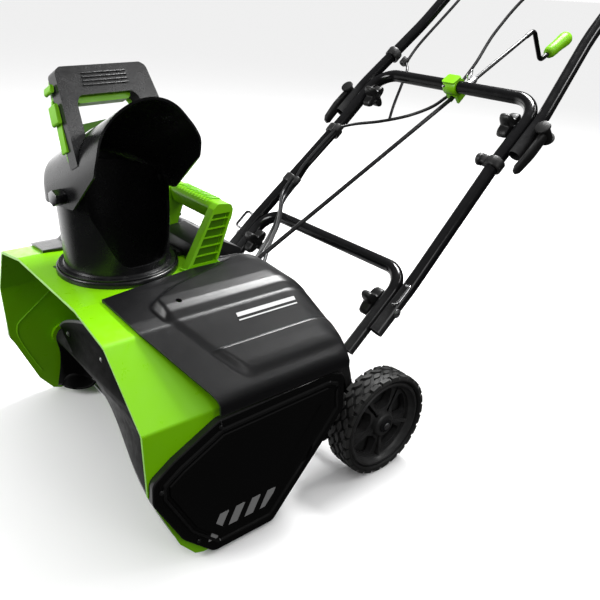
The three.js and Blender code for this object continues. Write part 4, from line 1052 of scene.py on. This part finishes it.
def build_crank():
    start = rod_at(TRANSFER_Y) + 33.9
    end = rod_at(1052)
    piece("crank_rod_bar", sweep([(0, start, 0), (0, (start + end) / 2, 0), (0, end, 0)], 4, 20), ROD,
          "tube_black", "crank", ["crank_rod"])
    s = rod_at(886)
    joint = turned([(4.2, s - 16), (6, s - 16), (7.2, s - 14), (7.2, s + 10), (5, s + 16), (4.2, s + 16)],
                   28, "y")
    pin = bent([(0, s - 6, 7), (0, s - 6, 21, 3), (5, s + 4, 26, 4), (0, s + 12, 20, 4), (0, s + 6, 13, 3),
                (0, s - 2, 7)], 15)
    piece("rod_joint", joint, ROD, "steel", "crank", ["rod_clip"], sharp=30)
    piece("rod_joint_pin", sweep(pin, 1.3, 12), ROD, "bright_steel", "crank", ["rod_clip"])
    e = end + 0.4
    arm = bent([(0, e, 0), (0, e + 26, 0, 12), (0, e + 34, -74, 12), (0, e + 62, -74)], 8)
    piece("crank_arm_bar", sweep(arm, 5, 20), ROD, "tube_black", "crank", ["crank_arm"])
    profile = [(0, 0), (9, 0), (11, 2), (13, 9), (13.6, 22), (13.2, 34), (14.4, 50), (15.5, 64), (14.4, 72),
               (11, 77), (5, 78), (0, 78)]
    grip = turned(profile, 40, "y", (0, e + 62.2, -74))
    piece("crank_grip_knob", grip, ROD, "green_plastic", "crank", ["crank_grip"], sharp=50)


def build_rod_bracket():
    s = LOWER_CROSSBAR
    saddle = temp(turned([(11.4, -15), (16, -15), (16.6, -14), (16.6, 14), (16, 15), (11.4, 15)], 48, "x",
                         (0, s, 0)))
    post = prism(rounded([(-13, -31, 4), (-6.4, -31, 2), (-6.4, -15), (6.4, -15), (6.4, -31, 2),
                          (13, -31, 4), (14, -11), (-14, -11)], 4), s - 14, s + 14, "y")
    groove = temp(cylinder(5.4, -80, 80, 32, "y"))
    groove.data.transform(Matrix.Translation((0, s, -20.6)) @ Matrix.Rotation(ROD_SLOPE - HANDLE_SLOPE, 4,
                                                                              "X"))
    body = fuse(saddle, post)
    body = cut(body, groove, cylinder(11.3, -40, 40, 48, "x", (0, s, 0)))
    piece("rod_bracket_hook", body, HANDLE, "green_plastic", "middle", ["rod_bracket"],
          bevel=0.8)
    piece("rod_bracket_tab", prism(rounded([(-19, s - 9, 4), (13, s - 9, 4), (19, s + 13, 5),
                                            (-14, s + 13, 5)], 4), 13.2, 18, "z"), HANDLE, "green_plastic",
          "middle", bevel=0.8)
    screw = turned([(0, 0), (4, 0), (4, 2), (2.6, 3.4), (0, 3.6)], 24, "z", (-12, s - 11, 9))
    piece("rod_bracket_screw", screw, HANDLE, "bright_steel", "middle", sharp=40)


# ------------------------------------------------------------------ auger
def blade_turn(share):
    """Twist of a blade along its length; its left end curls further."""
    end = min(1.0, max(0.0, (-share - 0.9) / 0.1))
    return math.radians(269 - 23 * math.sin(math.pi / 2 * share) - 34 * end * end)


def blade_reach(share):
    """How far a rounded-off left end reaches from the shaft."""
    q = min(1.0, max(0.0, (-0.2 - share) / 0.8))
    return 20 + (BLADE_REACH - 20) * (1 - q * q)


def blade(start, section, trimmed=False, rim=False):
    """Sheet that follows the blade's twist; the section is a loop of (radius, half thickness side)."""
    shares = [-1 + 0.1 * k / 12 for k in range(12)] + [-0.9 + 1.8 * k / 48 for k in range(49)] \
        + [0.9 + 0.1 * k / 12 for k in range(1, 13)]
    rings = []
    for share in shares:
        turn = start + blade_turn(share)
        reach = blade_reach(share) if trimmed else BLADE_REACH
        fitted = [(r - BLADE_REACH + reach if rim else r * reach / BLADE_REACH, t) for r, t in section]
        rings.append([(share * BLADE_HALF, AUGER_Y + r * math.cos(turn) - t * math.sin(turn),
                       AUGER_Z + r * math.sin(turn) + t * math.cos(turn)) for r, t in fitted])
    return loft(rings)


def hold(y, z, most):
    """Pulls a point in to at most this far from the shaft."""
    away = math.hypot(y - AUGER_Y, z - AUGER_Z)
    share = min(1.0, most / away)
    return AUGER_Y + (y - AUGER_Y) * share, AUGER_Z + (z - AUGER_Z) * share


def toe():
    """Curled corner at the end of a blade: a sheet between an arch and a lower bow."""
    arch = [(-246, -8, 15), (-245, -4, 25), (-243, 3, 33), (-241, 14, 35), (-240, 25, 31), (-238, 36, 24),
            (-236, 45, 18)]
    bow = [(-244, -10, 13), (-236, -9, 9), (-225, -6, 6.5), (-214, 4, 5.5), (-206, 18, 6), (-203, 33, 8.5),
           (-208, 46, 14)]
    rows = []
    for k in range(9):
        t = k / 8
        bulge = 5 * math.sin(math.pi * t)
        rows.append([(a[0] + (b[0] - a[0]) * t + bulge, a[1] + (b[1] - a[1]) * t - bulge,
                      a[2] + (b[2] - a[2]) * t) for a, b in zip(smooth_path(arch, 3),
                                                                smooth_path(bow, 3))])
    rows = [[(x, *hold(y + 100, z, 100.5)) for x, y, z in row] for row in rows]
    return thickened(temp(grid(rows)), 4.5, 0)


def build_auger():
    sleeve = turned([(8.4, -245), (17, -245), (17, 245), (8.4, 245)], 40, "x", SHAFT)
    flank = [(0, 17), (9, 16), (18, 12.5), (28, 8.4), (40, 5.2), (56, 3.2), (76, 2.4), (101.4, 2.8)]
    web = [(r, -t) for r, t in flank] + flank[::-1]
    rim = [(101.6, -2.9), (104.2, -2.9), (105, -2), (105, 2), (104.2, 2.9), (101.6, 2.9)]
    piece("auger_blades", join(blade(0, web), blade(math.pi, web, True), sleeve), BODY, "rubber", "auger",
          ["auger_paddle"], sharp=50)
    piece("auger_blade_rims", join(blade(0, rim), blade(math.pi, rim, True, True)), BODY, "rubber_edge",
          "auger", sharp=50)
    piece("auger_toe", toe(), BODY, "rubber", "auger", sharp=50)
    bolts = []
    for start in (0, math.pi):
        for x in (-180, -60, 60, 180):
            turn = start + blade_turn(x / BLADE_HALF)
            spot = Matrix.Translation((x, AUGER_Y, AUGER_Z)) @ Matrix.Rotation(turn, 4, "X")
            bolts.append(moved(turned([(0, 2.2), (5, 2.2), (5, 4.6), (3.4, 6), (0, 6.2)], 20, "z",
                                      (0, 40, 0)), spot))
    piece("auger_rivets", join(*bolts), BODY, "steel", "auger", sharp=40)


# ------------------------------------------------------------------ plain bars where the real one is marked
def draped(x0, x1, y0, y1, lift, steps=24):
    """Thin strip laid on the side cover."""
    rows = []
    for i in range(5):
        x = x0 + (x1 - x0) * i / 4
        rows.append([(x, y, cover_height(x, y) + lift)
                     for y in [y0 + (y1 - y0) * k / steps for k in range(steps + 1)]])
    return grid(rows)


def build_marks():
    bars = [prism(rounded([(60 + 27 * i, 44, 1.2), (75 + 27 * i, 44, 1.2), (95 + 27 * i, 84, 1.2),
                           (80 + 27 * i, 84, 1.2)], 3), 274.3, 274.95, "x") for i in range(4)]
    piece("panel_stripes_left", moved(join(*bars), Matrix.Translation((0, 30, -14))), BODY, "mark_grey",
          "chassis")
    for number, (x0, x1) in enumerate(((198.5, 203), (206, 207.4)), 1):
        bar = thickened(temp(draped(x0, x1, 186, 286, 0.5)), 0.4, 1)
        piece(f"cover_stripe_{number}", bar, BODY, "mark_white", "chassis")
    deck = [prism(rounded([(-46, 30, 2), (44, 38, 2), (43, 46, 2), (-47, 38, 2)], 3), DECK_Z + 0.02,
                  DECK_Z + 0.35, "z"), prism(rounded([(-12, 24, 1.4), (18, 26.6, 1.4), (18, 30, 1.4),
                                                      (-12, 27.4, 1.4)], 3), DECK_Z + 0.02, DECK_Z + 0.35,
                                             "z")]
    piece("deck_stripes", join(*deck), BODY, "mark_dark", "chassis")


# ------------------------------------------------------------------ carried-over solids
CARRIED = {
    "textured_black": ["rear_housing", "centre_cover", "battery_lid"],
    "moulded_black": ["auger_pulley", "chute_gear", "transfer_gear", "battery_latch", "crank_pinion"],
    "plate_steel": ["scraper_bar"],
    "steel": ["motor_pulley", "auger_shaft", "auger_bearing_left", "auger_bearing_right", "wheel_axle"],
    "dark_steel": ["hood_bolt_left", "hood_bolt_right"],
    "cast": ["motor_body"],
    "rubber": ["drive_belt"],
    "board": ["control_board"],
    "green_plastic": ["battery_pack"],
}

for finish, nodes in CARRIED.items():
    for node in nodes:
        wide = node in ("rear_housing", "centre_cover", "battery_pack", "battery_lid")
        polish(node, finish, 1.6 if wide else 0.5)

build_housing()
build_cover("motor_cover", 1)
build_cover("battery_cover", -1)
build_panel("side_panel_left", 1)
build_panel("side_panel_right", -1)
build_chute()
build_hood()
build_grip_loop()
build_trigger()
build_carry_handle()
build_brackets()
build_wheels()
build_handles()
build_knobs()
build_cams()
build_cables()
build_clips()
build_switch()
build_crank()
build_rod_bracket()
build_auger()
build_marks()


# ------------------------------------------------------------------ floor, light, camera
def build_stage():
    floor = bpy.data.meshes.new("floor")
    wide = 60
    floor.from_pydata([(-wide, -wide, -0.0006), (wide, -wide, -0.0006), (wide, wide, -0.0006),
                       (-wide, wide, -0.0006)], [], [[0, 1, 2, 3]])
    obj = bpy.data.objects.new("floor", floor)
    bpy.context.scene.collection.objects.link(obj)
    floor.materials.append(finish_material("pale_floor", (0.93, 0.93, 0.93), 0.9, grain=200, bump=0.02,
                                           vary=0.01, specular=0.0))
    obj.visible_glossy = obj.visible_diffuse = False


def area_light(name, location, target, size, energy):
    lamp = bpy.data.lights.new(name, "AREA")
    lamp.shape, lamp.size, lamp.size_y, lamp.energy = "RECTANGLE", size[0], size[1], energy
    obj = bpy.data.objects.new(name, lamp)
    obj.location = location
    obj.rotation_mode = "QUATERNION"
    obj.rotation_quaternion = (Vector(target) - Vector(location)).to_track_quat("-Z", "Y")
    bpy.context.scene.collection.objects.link(obj)


def build_light():
    world = bpy.data.worlds.new("studio")
    bpy.context.scene.world = world
    world.use_nodes = True
    n = Nodes(world)
    direction = n.add("ShaderNodeTexCoord").outputs["Generated"]
    across, _, up = n.add("ShaderNodeSeparateXYZ", {0: direction}).outputs
    rays = n.add("ShaderNodeLightPath")
    soft = n.ranged(up, 0.0, 1.0, 0.10, 1.35)
    mirror = n.ranged(up, -0.05, 1.0, 0.02, 0.17)
    card = n.calculated("MULTIPLY", n.ranged(across, -0.55, -0.9, 0.0, 1.0),
                        n.ranged(up, 0.3, 0.0, 0.0, 1.8))
    strength = n.mixed_value(rays.outputs["Is Glossy Ray"], soft, n.calculated("ADD", mirror, card))
    strength = n.mixed_value(rays.outputs["Is Camera Ray"], strength, 1.0)
    sky = n.add("ShaderNodeBackground", {"Color": (1, 1, 1, 1), "Strength": strength})
    n.add("ShaderNodeOutputWorld", {"Surface": sky.outputs[0]})
    centre = (0, 0.1, 0.3)
    for name, location, size, energy in (("key", (-0.5, -2.1, 1.5), (1.0, 1.3), 34),
                                         ("rear_left", (-2.2, 1.0, 0.25), (1.6, 0.5), 2.5),
                                         ("overhead_rear", (-0.25, 1.5, 2.2), (1.1, 0.5), 85),
                                         ("side", (2.2, 0.2, 1.3), (0.5, 1.2), 5),
                                         ("rear_right", (1.3, 1.5, 1.74), (0.5, 0.35), 5)):
        area_light(name, location, centre, size, energy)


def build_camera():
    right = Vector((0.62914, 0.77594, 0.04583))
    ahead = Vector((-0.69017, 0.58478, -0.42625)).normalized()
    right = (right - ahead * right.dot(ahead)).normalized()
    up = right.cross(ahead)
    camera = bpy.data.objects.new("camera", bpy.data.cameras.new("camera"))
    bpy.context.scene.collection.objects.link(camera)
    camera.matrix_world = (Matrix.Translation((0.8843, -0.4536, 0.7391))
                           @ Matrix((right, up, -ahead)).transposed().to_4x4())
    camera.data.sensor_width, camera.data.lens = 36, 40.9
    camera.data.clip_start, camera.data.clip_end = 0.02, 60
    bpy.context.scene.camera = camera


build_stage()
build_light()
build_camera()
bpy.context.scene.view_settings.view_transform = "Standard"
